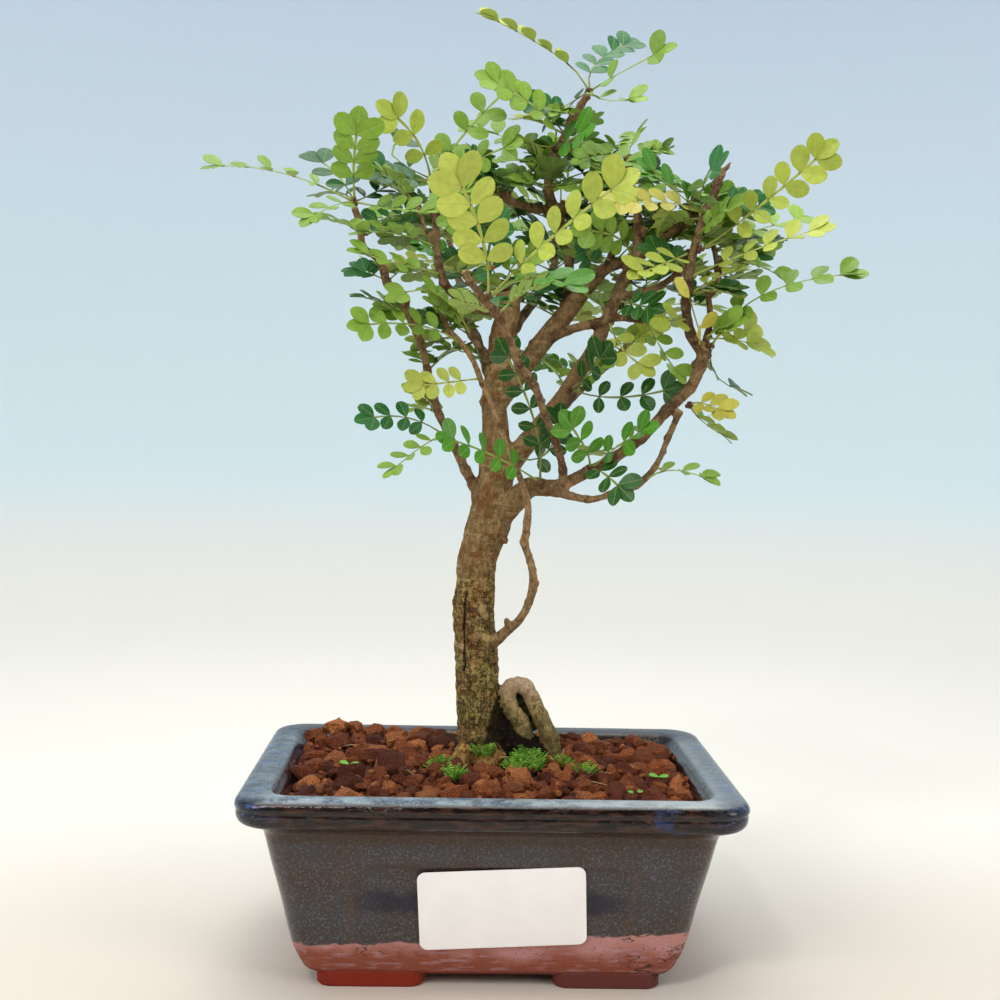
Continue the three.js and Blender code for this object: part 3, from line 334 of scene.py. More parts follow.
# The panel's sunk edge holds a thin line of brown
border = node(glaze, "Math", {0: upward, 1: -0.1, 2: reach}, operation="MULTIPLY_ADD")
border = node(glaze, "Math", {0: drift, 1: 5, 2: border}, operation="MULTIPLY_ADD")
border = line_near(glaze, border, 41.9, 1.6, 0.2, 0.3)
beside = node(glaze, "MapRange", {0: upward, 1: 41, 2: 38})
border = node(glaze, "Math", {0: border, 1: beside}, operation="MULTIPLY")
# Under the lip the glaze runs thin and brown, and it is nearly black along the lip's front
below_top = node(glaze, "MapRange", {0: upward, 1: 61.0, 2: 60.4})
thin = node(glaze, "MapRange", {0: upward, 1: 45, 2: 49})
thin = node(glaze, "Math", {0: thin, 1: below_top}, operation="MULTIPLY")
thin_tone = node(glaze, "Mix", {0: flecks, 6: "#3A2A1F", 7: "#5E554C"})
gathered = node(glaze, "MapRange", {0: streak, 1: 0.46, 2: 0.62})
front_tone = node(glaze, "Mix", {0: gathered, 6: "#120906", 7: "#3A241A"})
blue_run = node(glaze, "MapRange", {0: cloud, 1: 0.6, 2: 0.68, 4: 0.7})
front_tone = node(glaze, "Mix", {0: blue_run, 6: front_tone, 7: "#2A3A66"})
lip_front = node(glaze, "MapRange", {0: upward, 1: 51.8, 2: 53.4})
lip_share = node(glaze, "Math", {0: lip_front, 1: 0.7}, operation="MULTIPLY")
lip_front = node(glaze, "Math", {0: lip_front, 1: below_top}, operation="MULTIPLY")
# On top of the lip it pools to a milky steel blue, bright blue at the corners, painted paler
# towards the right as painted light and darker behind as painted shade
on_top = node(glaze, "MapRange", {0: upward, 1: 60.7, 2: 61.4, 4: 0.88})
patchy = node(glaze, "MapRange", {0: drift, 1: 0.4, 2: 0.6})
pool_tone = node(glaze, "Mix", {0: patchy, 6: "#9AA9AF", 7: "#54626E"})
corner = node(glaze, "MapRange", {0: reach, 1: 60, 2: 72})
rough_blue = node(glaze, "MapRange", {0: streak, 1: 0.54, 2: 0.68, 4: 0.75})
# Painted light: paler on the right of the lip's top. Painted shade: darker at its back
painted_light_right = node(glaze, "MapRange", {0: across, 1: -10, 2: 60, 4: 0.5})
painted_shade_back = node(glaze, "MapRange", {0: deep, 1: 26, 2: 42, 4: 0.88})
for share, layer in (
    (rough_blue, "#40608F"), (flecks, "#CCD6DC"), (painted_light_right, "#D2D6D2"), (painted_shade_back, "#332C2A"),
):
    pool_tone = node(glaze, "Mix", {0: share, 6: pool_tone, 7: layer})
corner_tone = node(glaze, "Mix", {0: rough_blue, 6: "#1E2636", 7: "#3F66AE"})
corner = node(glaze, "Math", {0: corner, 1: lip_share}, operation="MULTIPLY")
for share, layer in (
    (flecks, "#6E7488"), (navy, "#10142A"), (brown, "#3E2C20"), (border, "#5C4028"),
    (thin, thin_tone), (lip_front, front_tone), (on_top, pool_tone), (corner, corner_tone),
):
    glaze_tone = node(glaze, "Mix", {0: share, 6: glaze_tone, 7: layer})
pot_tone = node(glaze, "Mix", {0: glazed, 6: clay_tone, 7: glaze_tone})
sheen_loss = node(glaze, "MapRange", {0: glazed, 3: 0.8, 4: 0.07})
for layer, weight in ((on_top, 0.16), (grain, 0.1)):
    sheen_loss = node(
        glaze, "Math", {0: layer, 1: weight, 2: sheen_loss}, operation="MULTIPLY_ADD"
    )
relief = node(glaze, "Math", {0: speck, 1: 0.6}, operation="MULTIPLY")
for layer, weight in ((drift, 2.4), (grain, 0.3), (crack, -1.5)):
    relief = node(
        glaze, "Math", {0: layer, 1: weight, 2: relief}, operation="MULTIPLY_ADD"
    )
skin = node(glaze, "Bump", {"Height": relief, "Strength": 0.35, "Distance": 0.3 * MM})
coat(glaze, Base_Color=pot_tone, Roughness=sheen_loss, Normal=skin)
wear(pot, glaze)
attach(pot, "root")
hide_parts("pot")

# Label: a blank paper sticker with rounded corners, pressed on the front wall a little turned.
# It is thin uncoated white paper, very slightly grey in places, with fine fibres in its skin.
LABEL_HALF_X = 25
LABEL_HALF_Y = 12.7
LABEL_RADIUS = 2.5
LABEL_TURN = math.radians(3)
LABEL_PLACE = (3.4, -42.48, 27.2)
LABEL_LEVELS = [
    (0, LABEL_HALF_X, LABEL_HALF_Y), (0.2, LABEL_HALF_X, LABEL_HALF_Y),
    (0.26, LABEL_HALF_X - 0.2, LABEL_HALF_Y - 0.2),
]
label = rounded_block(LABEL_LEVELS, LABEL_RADIUS, segments=6)
label.location = place(*LABEL_PLACE)
label.rotation_euler = (
    Matrix.Rotation(math.pi / 2 + WALL_LEAN, 3, "X") @ Matrix.Rotation(LABEL_TURN, 3, "Z")
).to_euler()
shade_smooth(label, 40)
settle(label, "blank_label")
paper, on_paper = new_finish("uncoated_white_sticker_paper", IOR=1.47, Roughness=0.62)
fibre = node(paper, "TexNoise", {"Vector": on_paper, "Scale": 1.8, "Detail": 5})
mottle = node(paper, "TexNoise", {"Vector": on_paper, "Scale": 0.12, "Detail": 3})
mottle = node(paper, "MapRange", {0: mottle, 1: 0.35, 2: 0.65}, interpolation_type="LINEAR")
paper_tone = node(paper, "Mix", {0: mottle, 6: "#FFFDFD", 7: "#FAF8F8"})
skin = node(paper, "Bump", {"Height": fibre, "Strength": 0.25, "Distance": 0.05 * MM})
coat(paper, Base_Color=paper_tone, Normal=skin)
wear(label, paper)
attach(label, "root")
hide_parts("label")

# Drain meshes: squares of moulded black plastic net over the two holes, under the soil.
# The solids are already the real shape, so they only get their finish: dull, finely uneven.
net, on_net = new_finish("moulded_black_polythene_net", IOR=1.5)
uneven = node(net, "TexNoise", {"Vector": on_net, "Scale": 2.2, "Detail": 3})
net_tone = node(net, "Mix", {0: uneven, 6: "#1E1F1E", 7: "#32332F"})
net_gloss = node(net, "MapRange", {0: uneven, 3: 0.45, 4: 0.7}, interpolation_type="LINEAR")
skin = node(net, "Bump", {"Height": uneven, "Strength": 0.3, "Distance": 0.1 * MM})
coat(net, Base_Color=net_tone, Roughness=net_gloss, Normal=skin)
for name in ("drain_mesh_left", "drain_mesh_right"):
    wear(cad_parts[name], net)

# Wood: each limb is a row of places along its middle with its radius there. The tree's section
# grows the wood from them, and by them the granules keep clear of the trunk and its roots.
limbs = {
    "trunk": [
        (-4, 12, 44, 8), (-3.6, 12, 57, 8.4), (-3.6, 12, 66, 7.4), (-4.4, 12, 82, 7.2),
        (-5.2, 12, 97, 6.9), (-6.5, 12, 110, 6.8), (-6, 12, 119, 6.4), (-5, 12, 128, 6.5),
        (-2, 12, 138, 7.3), (-1, 12, 146, 6.6), (0, 12, 156, 5.5), (0, 12, 166, 4.6),
        (-1, 12, 179, 4.1), (0, 12, 189, 4.1), (1, 12, 199, 4), (3, 12, 209, 3.8),
        (2, 12, 215, 3.6),
    ],
    "sucker": [
        (0, 7, 99, 2.2), (5, 4, 104, 1.7), (8.4, 1, 107.6, 1.4), (11.6, -0.5, 114, 1.4),
        (12.6, -1.2, 121, 1.4), (11.6, -1.6, 127, 1.3), (9.6, -2, 133, 1.3),
        (10.2, -2.6, 140, 1.3), (10, -3.2, 147, 1.2), (7, -2.4, 155.5, 1.1), (3, 0.8, 165, 1),
        (-2, 3, 178, 1), (-5, 3, 184, 1), (-9, 3, 193, 1), (-14, 3, 199, 1.1), (-17, 3, 202, 1.2),
        (-20, 3, 211, 1.1),
    ],
    "left_limb": [
        (-5, 11, 146, 3), (-7, 10, 151, 2.2), (-10, 8, 156, 1.9), (-14, 6, 164, 1.7),
        (-19, 4, 174, 1.6), (-21, 2, 180, 1.7), (-23, 1, 188, 1.5), (-25, 0, 196, 1.5),
        (-28, -1, 203, 1.7), (-31, -2, 209, 1.8), (-36, -3, 215, 1.6), (-39, -4, 223, 1.6),
        (-44, -4, 226, 1.5), (-45, -4, 232, 1.4), (-47, -4, 239, 1.3),
    ],
    "left_stub": [(-30, -2, 207, 1.4), (-31, -3, 213, 1.2)],
    "upright": [
        (1, 11, 208, 2.4), (-8, 3, 209, 2.2), (-13, 0, 211, 1.9), (-18, -2, 216, 1.6),
        (-20, -3, 222, 1.5), (-21, -3, 231, 1.4), (-21, -3, 239, 1.4),
    ],
    "upright_back": [
        (-20, -2, 223, 1.2), (-21, 3, 231, 1.2), (-22, 7, 239, 1.2), (-23, 9, 249, 1.2),
    ],
    "pale_twig": [(-20, -3, 224, 0.9), (-24, -2, 232, 0.8), (-27, -1, 240, 0.8)],
    "front_limb": [
        (21, -1, 150, 2.2), (21, -6, 157, 1.6), (18, -14, 166, 1.5), (14, -22, 174, 1.4),
        (10, -29, 183, 1.5), (5, -34, 189, 1.6), (2, -38, 196, 1.4), (-2, -41, 203, 1.5),
        (-6, -43, 207, 1.5), (-10, -45, 212, 1.3), (-12, -46, 215, 1.3),
    ],
    "fork": [
        (-2, 11, 137, 4.8), (2, 9, 142, 4.4), (6, 6, 146, 3.9), (11, 2, 151, 3.4),
        (17, 0, 151, 2.8), (23, -2, 152, 2.4),
    ],
    "right_limb": [
        (21, -1, 152, 2.4), (30, -4, 157, 2.2), (37, -5, 161, 2.2), (46, -6, 168, 2.1),
        (54, -6, 177, 2.1), (61, -6, 184, 2.2), (64, -6, 191, 2.4), (65, -6, 197, 2.2),
    ],
    "right_upright": [
        (65, -6, 195, 2.2), (61, -6, 201, 2), (59, -6, 211, 1.8), (60, -6, 222, 1.8),
        (62, -6, 232, 1.6), (64, -6, 238, 1.6), (66, -6, 243, 1.6), (68, -6, 249, 1.8),
        (69, -6, 254, 1.6),
    ],
    "splinter": [(69, -6, 252, 1.3), (72, -7, 256, 0.5)],
    "lower_limb": [
        (19, -1, 150, 2), (29, -9, 148, 1.4), (36, -12, 150, 1.3), (44, -12, 153, 1.5),
        (50, -11, 159, 1.2), (54, -9, 168, 1.2), (58, -7, 177, 1.4),
    ],
    "back_upright": [
        (65, -5, 196, 1.6), (68, 0, 206, 1.3), (68, 4, 216, 1.3), (71, 5, 221, 1.5),
        (70, 7, 230, 1), (68, 8, 237, 0.9),
    ],
    "back_twig": [
        (69, 3, 215, 1.2), (73, 7, 226, 1), (75, 10, 235, 0.8), (80, 14, 246, 0.8),
        (83, 16, 249, 0.9),
    ],
    "main_limb": [
        (0, 12, 152, 4.8), (4, 12, 158, 4.2), (9, 13, 164, 3.5), (15, 14, 172, 3),
        (22, 14, 181, 2.8), (28, 14, 191, 2.6), (34, 13, 202, 2.5), (37, 12, 210, 2.5),
        (41, 11, 220, 2.4), (45, 10, 228, 2.4), (45, 10, 237, 1.7), (44, 10, 244, 1.5),
        (42, 10, 252, 1.4), (41, 10, 260, 1.4),
    ],
    "main_knob": [(45, 10, 233, 1.4), (48, 9, 237, 1.1)],
    "long_side": [
        (44, 9, 226, 2.3), (50, 6, 231, 1.9), (57, 3, 236, 1.9), (63, 1, 240, 1.6),
        (69, -2, 246, 1.4),
    ],
    "long_side_stub": [(60, 2, 237, 1.4), (61, 1, 243, 1.2), (62, 0, 248, 1.2)],
    "middle_limb": [
        (0, 12, 178, 3.4), (7, 15, 188, 3.2), (14, 17, 198, 3.2), (21, 18, 207, 3.2),
        (27, 17, 215, 3), (33, 15, 222, 2.6), (38, 13, 225, 2.1), (44, 10, 226, 1.8),
    ],
    "middle_stub": [(35, 15, 223, 1.8), (38, 17, 231, 1.4)],
    "inner_upright": [
        (22, 19, 208, 2.4), (24, 26, 218, 2), (24, 29, 228, 1.9), (23, 31, 238, 1.8),
    ],
    "crown_limb": [
        (24, 30, 232, 1.8), (21, 27, 239, 1.9), (18, 22, 244, 2.4), (16, 20, 250, 1.9),
        (16, 19, 258, 1.8), (18, 18, 262, 2.1), (21, 17, 268, 1.6), (23, 16, 273, 1.8),
        (26, 16, 278, 1.5), (28, 15, 281, 1.5),
    ],
    "crown_side": [
        (18, 22, 244, 2), (10, 20, 244, 1.6), (3, 18, 246, 1.5), (-1, 17, 248, 1.4),
    ],
    "crown_stub": [(20, 22, 243, 1.8), (22, 22, 247, 1.7)],
    "crown_twig": [(1, 18, 247, 0.9), (4, 19, 251, 1), (6, 20, 253, 1)],
    "cross_limb": [
        (40, 11, 214, 1.8), (48, 9, 216, 1.6), (53, 6, 218, 1.4), (57, 1, 221, 1.4),
        (60, -5, 222, 1.4),
    ],
    "short_limb": [
        (15, 17, 199, 2.2), (23, 14, 203, 1.8), (30, 12, 205, 1.7), (37, 10, 207, 1.6),
        (43, 8, 207, 1.4), (48, 6, 206, 1.4),
    ],
    "back_left": [
        (0, 13, 181, 3), (-3, 24, 190, 2.2), (-7, 36, 201, 1.9), (-12, 46, 215, 1.6),
        (-15, 52, 229, 1.4), (-18, 56, 239, 1.2),
    ],
    "back_middle": [
        (1, 13, 196, 3), (6, 26, 205, 2.2), (13, 40, 215, 1.9), (20, 52, 227, 1.6),
        (21, 58, 239, 1.4), (23, 62, 249, 1.2),
    ],
    "back_right": [
        (16, 14, 173, 2.6), (24, 28, 179, 1.8), (34, 42, 188, 1.5), (46, 52, 199, 1.3),
        (53, 58, 212, 1.1),
    ],
    "inner_twig": [
        (0, 12, 190, 2.2), (-5, 8, 195, 1.6), (-9, 6, 200, 1.4), (-15, 5, 210, 1),
    ],
    "looped_root": [
        (12.6, 11, 54, 2.8), (12, 10.5, 64, 2.8), (10.6, 9.6, 71.5, 2.8), (8.4, 9, 75, 2.7),
        (6.5, 9, 78, 2.7), (5.7, 9, 81.8, 2.7), (6.7, 9, 84.6, 2.6), (9, 9, 85.4, 2.2),
        (11.4, 9, 84.3, 2.6), (15, 9, 77.6, 2.7), (19, 9.5, 69.5, 2.8), (21.4, 10, 62.7, 2.7),
        (22.4, 10.5, 50, 2.4),
    ],
    "root_front_left": [(-7, 8, 63, 3.2), (-11, 1, 59, 2.2), (-14, -4, 54, 1.4)],
    "root_front": [(-3, 7, 63, 3.2), (-1, 1, 59, 2.4), (1, -3, 53, 1.4)],
    # A dark humus mass behind the looped root, raised up to the trunk into the gap where shadow
    # falls: partly humus, partly painted shade
    "root_right": [
        (0, 13, 76, 4.2), (5, 13.5, 70, 5), (10.5, 11.5, 63.5, 5.8), (17, 12, 60, 5.2),
        (21, 12, 53, 3.5),
    ],
    "root_back": [(-6, 16, 63, 3.2), (-10, 24, 59, 2.4), (-12, 29, 53, 1.4)],
}

# Soil: baked red-brown clay granules over the same soil packed down to the pot's floor.
# The granules are 3 to 10 mm with chips between them, dry on top, and dark where they are damp.
SOIL_EDGE = 55.2
SOIL_HALF_X = 65.4
SOIL_HALF_Y = 44.05
MOUND_HEIGHT = 4
MOUND_FALL = 0.75
PILE_X = -52
PILE_Y = 34
PILE_LONG = 14
PILE_WIDE = 11
PILE_HEIGHT = 3.4
BACK_RISE = 1.8
INNER_HALF_X = 63.6
INNER_HALF_Y = 42.4
INNER_RADIUS = 8


def soil_height(x, y):
    """Height of the soil: mounded to the trunk, higher behind, piled in the back left corner."""
    from_middle = (x / SOIL_HALF_X) ** 2 + (y / SOIL_HALF_Y) ** 2
    mound = MOUND_HEIGHT * max(0.0, 1 - MOUND_FALL * from_middle)
    from_pile = ((x - PILE_X) / PILE_LONG) ** 2 + ((y - PILE_Y) / PILE_WIDE) ** 2
    pile = PILE_HEIGHT * math.exp(-from_pile)
    return SOIL_EDGE + mound + pile + BACK_RISE * max(0.0, y / 44)


def within_pot(x, y, margin):
    """Whether a place lies inside the pot's rounded inner wall, clear of it by a margin."""
    over_x = abs(x) - (INNER_HALF_X - INNER_RADIUS)
    over_y = abs(y) - (INNER_HALF_Y - INNER_RADIUS)
    beyond = max(over_x, over_y, math.hypot(max(over_x, 0), max(over_y, 0)))
    return beyond < INNER_RADIUS - margin


LOW_WOOD_TOP = 75
low_wood = np.vstack([curve_through(rows, 6) for rows in limbs.values()])
low_wood = low_wood[low_wood[:, 2] < LOW_WOOD_TOP]


def clear_of_wood(x, y, z, margin):
    """Whether a place is farther than a margin from the low wood's surface."""
    away = np.linalg.norm(low_wood[:, :3] - (x, y, z), axis=1) - low_wood[:, 3]
    return away.min() > margin


class Heap:
    """Gathers many small copies, in millimetres from the pot's middle, into one mesh."""

    def __init__(self):
        self.points = []
        self.faces = []
        self.values = {}
        self.count = 0

    def add(self, points, faces, **values):
        """Adds one copy, with a value for the whole copy or one for each of its points."""
        self.points.append(points)
        self.faces.extend(tuple(corner + self.count for corner in face) for face in faces)
        for key, value in values.items():
            value = np.atleast_1d(np.array(value, float))
            if value.shape[0] != len(points) or value.ndim == 1 and len(value) < 4:
                value = np.tile(value, (len(points), 1))
            self.values.setdefault(key, []).append(value.reshape(len(points), -1))
        self.count += len(points)

    def make(self, name):
        """The mesh: values of two numbers become a flat map, of three a colour, of one a share."""
        mesh = bpy.data.meshes.new(name)
        points = np.vstack(self.points) * MM + POT_CENTRE
        mesh.from_pydata(points.tolist(), [], self.faces)
        corners = np.empty(len(mesh.loops), int)
        mesh.loops.foreach_get("vertex_index", corners)
        for key, parts in self.values.items():
            value = np.vstack(parts)
            if value.shape[1] == 2:
                flat = mesh.uv_layers.new(name=key)
                flat.data.foreach_set("uv", value[corners].ravel())
            elif value.shape[1] == 3:
                colour = np.hstack([value, np.ones((len(value), 1))])
                layer = mesh.attributes.new(key, "FLOAT_COLOR", "POINT")
                layer.data.foreach_set("color", colour.ravel())
            else:
                layer = mesh.attributes.new(key, "FLOAT", "POINT")
                layer.data.foreach_set("value", value.ravel())
        mesh.shade_smooth()
        piece = bpy.data.objects.new(name, mesh)
        bpy.context.collection.objects.link(piece)
        return piece


def ball():
    """The points and faces of a ball of 80 faces, which granules, knots and buds start from."""
    start_clean()
    bpy.ops.mesh.primitive_ico_sphere_add(subdivisions=2, radius=1)
    piece = bpy.context.object
    points = np.array([tuple(vertex.co) for vertex in piece.data.vertices])
    faces = [tuple(face.vertices) for face in piece.data.polygons]
    bpy.data.objects.remove(piece, do_unlink=True)
    return points, faces


def unit(vector):
    return vector / np.linalg.norm(vector)


def any_turn(chance):
    """A turn in any direction, as three rows."""
    turn = Matrix.Rotation(chance.uniform(0, math.tau), 3, (
        chance.gauss(0, 1), chance.gauss(0, 1), chance.gauss(0, 1) + 0.01,
    ))
    return np.array(turn)


# The packed soil fills the pot from its floor up
BED_PROFILE = [
    (10.3, 25.3), (14, 22.6), (34, 18), (52.5, 14.2), (54, 14.3), (55.2, 22), (56.2, 32),
    (56.8, 42),
]
BED_RADIUS = 5
MESH_ROOM = 21
MESH_ROOM_Z = 1.6
bed = rounded_block(in_from_lip(BED_PROFILE), BED_RADIUS)
for side in (-1, 1):
    # Each drain mesh lies in a hollow under the soil
    start_clean()
    middle = place(side * HOLE_X, 0, MESH_ROOM_Z)
    bpy.ops.mesh.primitive_cube_add(size=MESH_ROOM * MM, location=middle)
    combine(bed, bpy.context.object, "DIFFERENCE")
settle(bed, "packed_soil")

KINDS = 6
BREAKS = 3
BREAK_DEPTH = 0.72
BREAK_FLATNESS = 0.85
granule_kinds = []
for kind in range(KINDS):
    points, faces = ball()
    shaped = []
    for point in points:
        spot = Vector(point) + Vector((kind * 7.3, 0, 0))
        swell = 1 + 0.42 * noise.noise(spot * 1.4) + 0.32 * noise.noise(spot * 3.1)
        shaped.append(point * swell)
    shaped = np.array(shaped)
    # Three broken faces, as fired clay snaps
    for facet in range(BREAKS):
        across = any_turn(random.Random(kind * 5 + facet))[0]
        beyond = np.maximum(shaped @ across - BREAK_DEPTH, 0)
        shaped = shaped - np.outer(beyond * BREAK_FLATNESS, across)
    granule_kinds.append((shaped, faces))

chance = random.Random(41)
granules = Heap()
CLAY_TONES = [colour_of(c) for c in ("#7A3C1E", "#96522A", "#602C16", "#B06A3A", "#84441E")]
HUMUS_TONE = "#2A1A0E"
# Darker tones for crumbs in the looped root's slot and in the gap by the trunk: partly humus,
# partly painted shade
MOSSY_HUMUS_AND_SHADE = "#2E3212"
DEEP_HUMUS_AND_SHADE = "#221A0C"
# In front of the trunk a patch of black humus lies bare, without granules
HUMUS_X = 4
HUMUS_Y = -1
HUMUS_HALF_X = 17
HUMUS_HALF_Y = 10


def lay_crumb(spot, radius, colour):
    """Lays a crumb of humus, of a colour that varies from crumb to crumb."""
    points, faces = chance.choice(granule_kinds)
    shade = colour_of(colour) * chance.uniform(0.4, 1.5)
    granules.add(points @ any_turn(chance).T * radius + spot, faces, clay_tone=shade)


def lay_granule(x, y, radius, sunk):
    """Lays a granule on the soil where there is room for it, clear of humus, wall and wood."""
    surface = soil_height(x, y)
    if ((x - HUMUS_X) / HUMUS_HALF_X) ** 2 + ((y - HUMUS_Y) / HUMUS_HALF_Y) ** 2 < 1:
        return
    if not within_pot(x, y, radius * 0.7) or not clear_of_wood(x, y, surface, radius * 0.35):
        return
    points, faces = chance.choice(granule_kinds)
    stretch = np.diag([chance.uniform(0.8, 1.25), chance.uniform(0.8, 1.1), 0.86])
    laid = points @ any_turn(chance).T @ stretch * radius + (x, y, surface + sunk)
    # Towards the right they are painted lighter: painted light, as more light falls on that side
    painted_light_toward_right = 1.1 + 0.0025 * x
    shade = chance.choice(CLAY_TONES) * chance.uniform(0.78, 1.4) * painted_light_toward_right
    granules.add(laid, faces, clay_tone=shade)


ROW_PITCH = 0.87
JOSTLE = 0.33
SCATTER_X = -65
SCATTER_Y = -44
SCATTER_LONG = 130
SCATTER_WIDE = 90


def scatter(spacing, radii, sunk, share):
    """Lays a share of a layer of granules in staggered rows, each a little off its place."""
    rows = int(SCATTER_WIDE / spacing / ROW_PITCH) + 1
    columns = int(SCATTER_LONG / spacing) + 1
    for row in range(rows):
        for column in range(columns):
            along = column + 0.5 * (row % 2) + chance.uniform(-JOSTLE, JOSTLE)
            back = row * ROW_PITCH + chance.uniform(-JOSTLE, JOSTLE)
            x = SCATTER_X + along * spacing
            y = SCATTER_Y + back * spacing
            radius = chance.uniform(*radii)
            level = sunk + chance.uniform(-0.5, 0.5)
            if chance.random() < share:
                lay_granule(x, y, radius, level)


# Layers from the lowest up: spacing, least and greatest radius, height over the soil and share
for layer in (
    (4.4, (2.0, 3.1), -1.6, 1), (7.0, (2.5, 4.0), 1.0, 0.82), (12, (3.6, 5.0), 1.9, 0.46),
    (6.4, (0.8, 1.5), 2.2, 0.5), (5, (0.5, 1.0), 3, 0.35),
):
    scatter(*layer)
# One lies before the trunk, and more are heaped along the back of the pot
heaped = [
    (-3, -12, 4.2, 1), (-53, 33, 4, 4.5), (-47, 36, 3.6, 3.6), (-60, 30, 3.6, 3),
    (-40, 35, 3.8, 2.8), (-33, 37, 4, 2.4), (-25, 36, 3.6, 2.6), (-17, 37, 3.8, 2),
    (20, 37, 3.6, 2.2), (28, 35, 4, 2.4), (36, 37, 3.6, 2.4), (45, 35, 3.8, 2), (53, 36, 3.4, 1.8),
]
for x, y, radius, sunk in heaped:
    lay_granule(x, y, radius, sunk)
# Crumbs of black humus cover that patch and cling round the foot of the trunk and its roots; up the
# dark mass by the looped root they are partly painted shade
PATCH_CRUMBS = 300
SLOT_CRUMBS = 60
for _ in range(PATCH_CRUMBS):
    reach = math.sqrt(chance.random())
    way = chance.uniform(0, math.tau)
    x = HUMUS_X + HUMUS_HALF_X * reach * math.cos(way)
    y = HUMUS_Y + HUMUS_HALF_Y * reach * math.sin(way)
    spot = (x, y, soil_height(x, y) - 1.4 + chance.uniform(-0.6, 0.6))
    lay_crumb(spot, chance.uniform(0.7, 1.7), HUMUS_TONE)
for name, crumbs, top in (("root_right", 150, 80), ("trunk", 60, 65)):
    line = curve_through(limbs[name], 6)
    line = line[(line[:, 2] > 57) & (line[:, 2] < top)]
    for _ in range(crumbs):
        x, y, z, radius = line[chance.randrange(len(line))]
        side = np.array((chance.gauss(0, 1), chance.gauss(0, 1), chance.uniform(0, 0.9)))
        spot = np.array((x, y, z)) + unit(side) * radius * chance.uniform(0.86, 1.02)
        lay_crumb(spot, chance.uniform(0.45, 1.1), HUMUS_TONE)
# Darker crumbs also fill the slot in the looped root and the gap between that root and the trunk:
# humus, and painted shade where those gaps lie in shadow
for _ in range(SLOT_CRUMBS):
    share = chance.random() ** 1.3
    slot_x = 8.8 + 6 * share + chance.uniform(-0.8, 0.8)
    lay_crumb((slot_x, chance.uniform(10.2, 12.6), 83.4 - 14 * share), 1.4, MOSSY_HUMUS_AND_SHADE)
    gap_x = 3.2 + chance.uniform(-0.8, 0.8)
    lay_crumb((gap_x, chance.uniform(9.5, 12.5), 83 - 14 * share), 1.1, DEEP_HUMUS_AND_SHADE)
granule_bed = granules.make("clay_granules")
shade_smooth(granule_bed, 24)

# Fired clay, unglazed and dusty: no gloss, a gritty skin with 0.3 mm grains and small pits
clay, on_clay = new_finish("fired_red_clay_granules", IOR=1.45, Roughness=0.95)
grit = node(clay, "TexNoise", {"Vector": on_clay, "Scale": 1.5, "Detail": 6, "Roughness": 0.75})
lumps = node(clay, "TexNoise", {"Vector": on_clay, "Scale": 0.85, "Detail": 3})
own_tone = node(clay, "Attribute", attribute_name="clay_tone")
dusty = node(
    clay, "MapRange", {0: grit, 1: 0.36, 2: 0.64, 3: 0.5, 4: 1.5}, interpolation_type="LINEAR"
)
clay_tone = node(clay, "VectorMath", {0: own_tone, "Scale": dusty}, operation="SCALE")
relief = node(clay, "Math", {0: lumps, 1: 1.4, 2: grit}, operation="MULTIPLY_ADD")
skin = node(clay, "Bump", {"Height": relief, "Strength": 1, "Distance": 1.5 * MM})
coat(clay, Base_Color=clay_tone, Normal=skin)
wear(granule_bed, clay)
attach(granule_bed, "root")

damp, on_damp = new_finish("damp_packed_soil", IOR=1.4, Roughness=0.8)
crumb = node(damp, "TexNoise", {"Vector": on_damp, "Scale": 0.7, "Detail": 5})
damp_tone = node(damp, "Mix", {0: crumb, 6: "#1C0F0A", 7: "#4A2818"})
skin = node(damp, "Bump", {"Height": crumb, "Strength": 0.9, "Distance": 1.2 * MM})
coat(damp, Base_Color=damp_tone, Normal=skin)
wear(bed, damp)
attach(bed, "root")
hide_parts("soil")

# Tree: trunk, limbs, sucker and roots are one living piece, thick and flaky low down, thin and
# reddish at the twigs, cut back with scissors so that many ends show a pale disc of wood.
SKIN_STEP = 0.6 * MM
STOUT_RADIUS = 2.6
STOUT_GIRTH = 1.05
TWIG_GIRTH = 0.88
NODE_SWELL = 0.2
limb_pieces = []
FULLER = {"looped_root": 1.04, "root_front": 1.3, "root_front_left": 1.3}
for name, rows in limbs.items():
    shape = bpy.data.curves.new(name, "CURVE")
    shape.dimensions = "3D"
    shape.bevel_depth = MM
    shape.bevel_resolution = 3
    shape.use_fill_caps = True
    line = curve_through(rows, 5)
    spline = shape.splines.new("POLY")
    spline.points.add(len(line) - 1)
    for step, (x, y, z, radius) in enumerate(line):
        # Twigs swell at their nodes, where leaves stood
        stout = radius > STOUT_RADIUS or name == "sucker"
        knuckle = 0 if stout or step % 5 else NODE_SWELL
        own_girth = FULLER.get(name, STOUT_GIRTH if stout else TWIG_GIRTH)
        spline.points[step].co = (*place(x, y, z), 1)
        spline.points[step].radius = radius * (own_girth + knuckle)
    limb = bpy.data.objects.new(name, shape)
    bpy.context.collection.objects.link(limb)
    limb_pieces.append(limb)
start_clean()
for limb in limb_pieces:
    limb.select_set(True)
tree = limb_pieces[0]
bpy.context.view_layer.objects.active = tree
bpy.ops.object.convert(target="MESH")

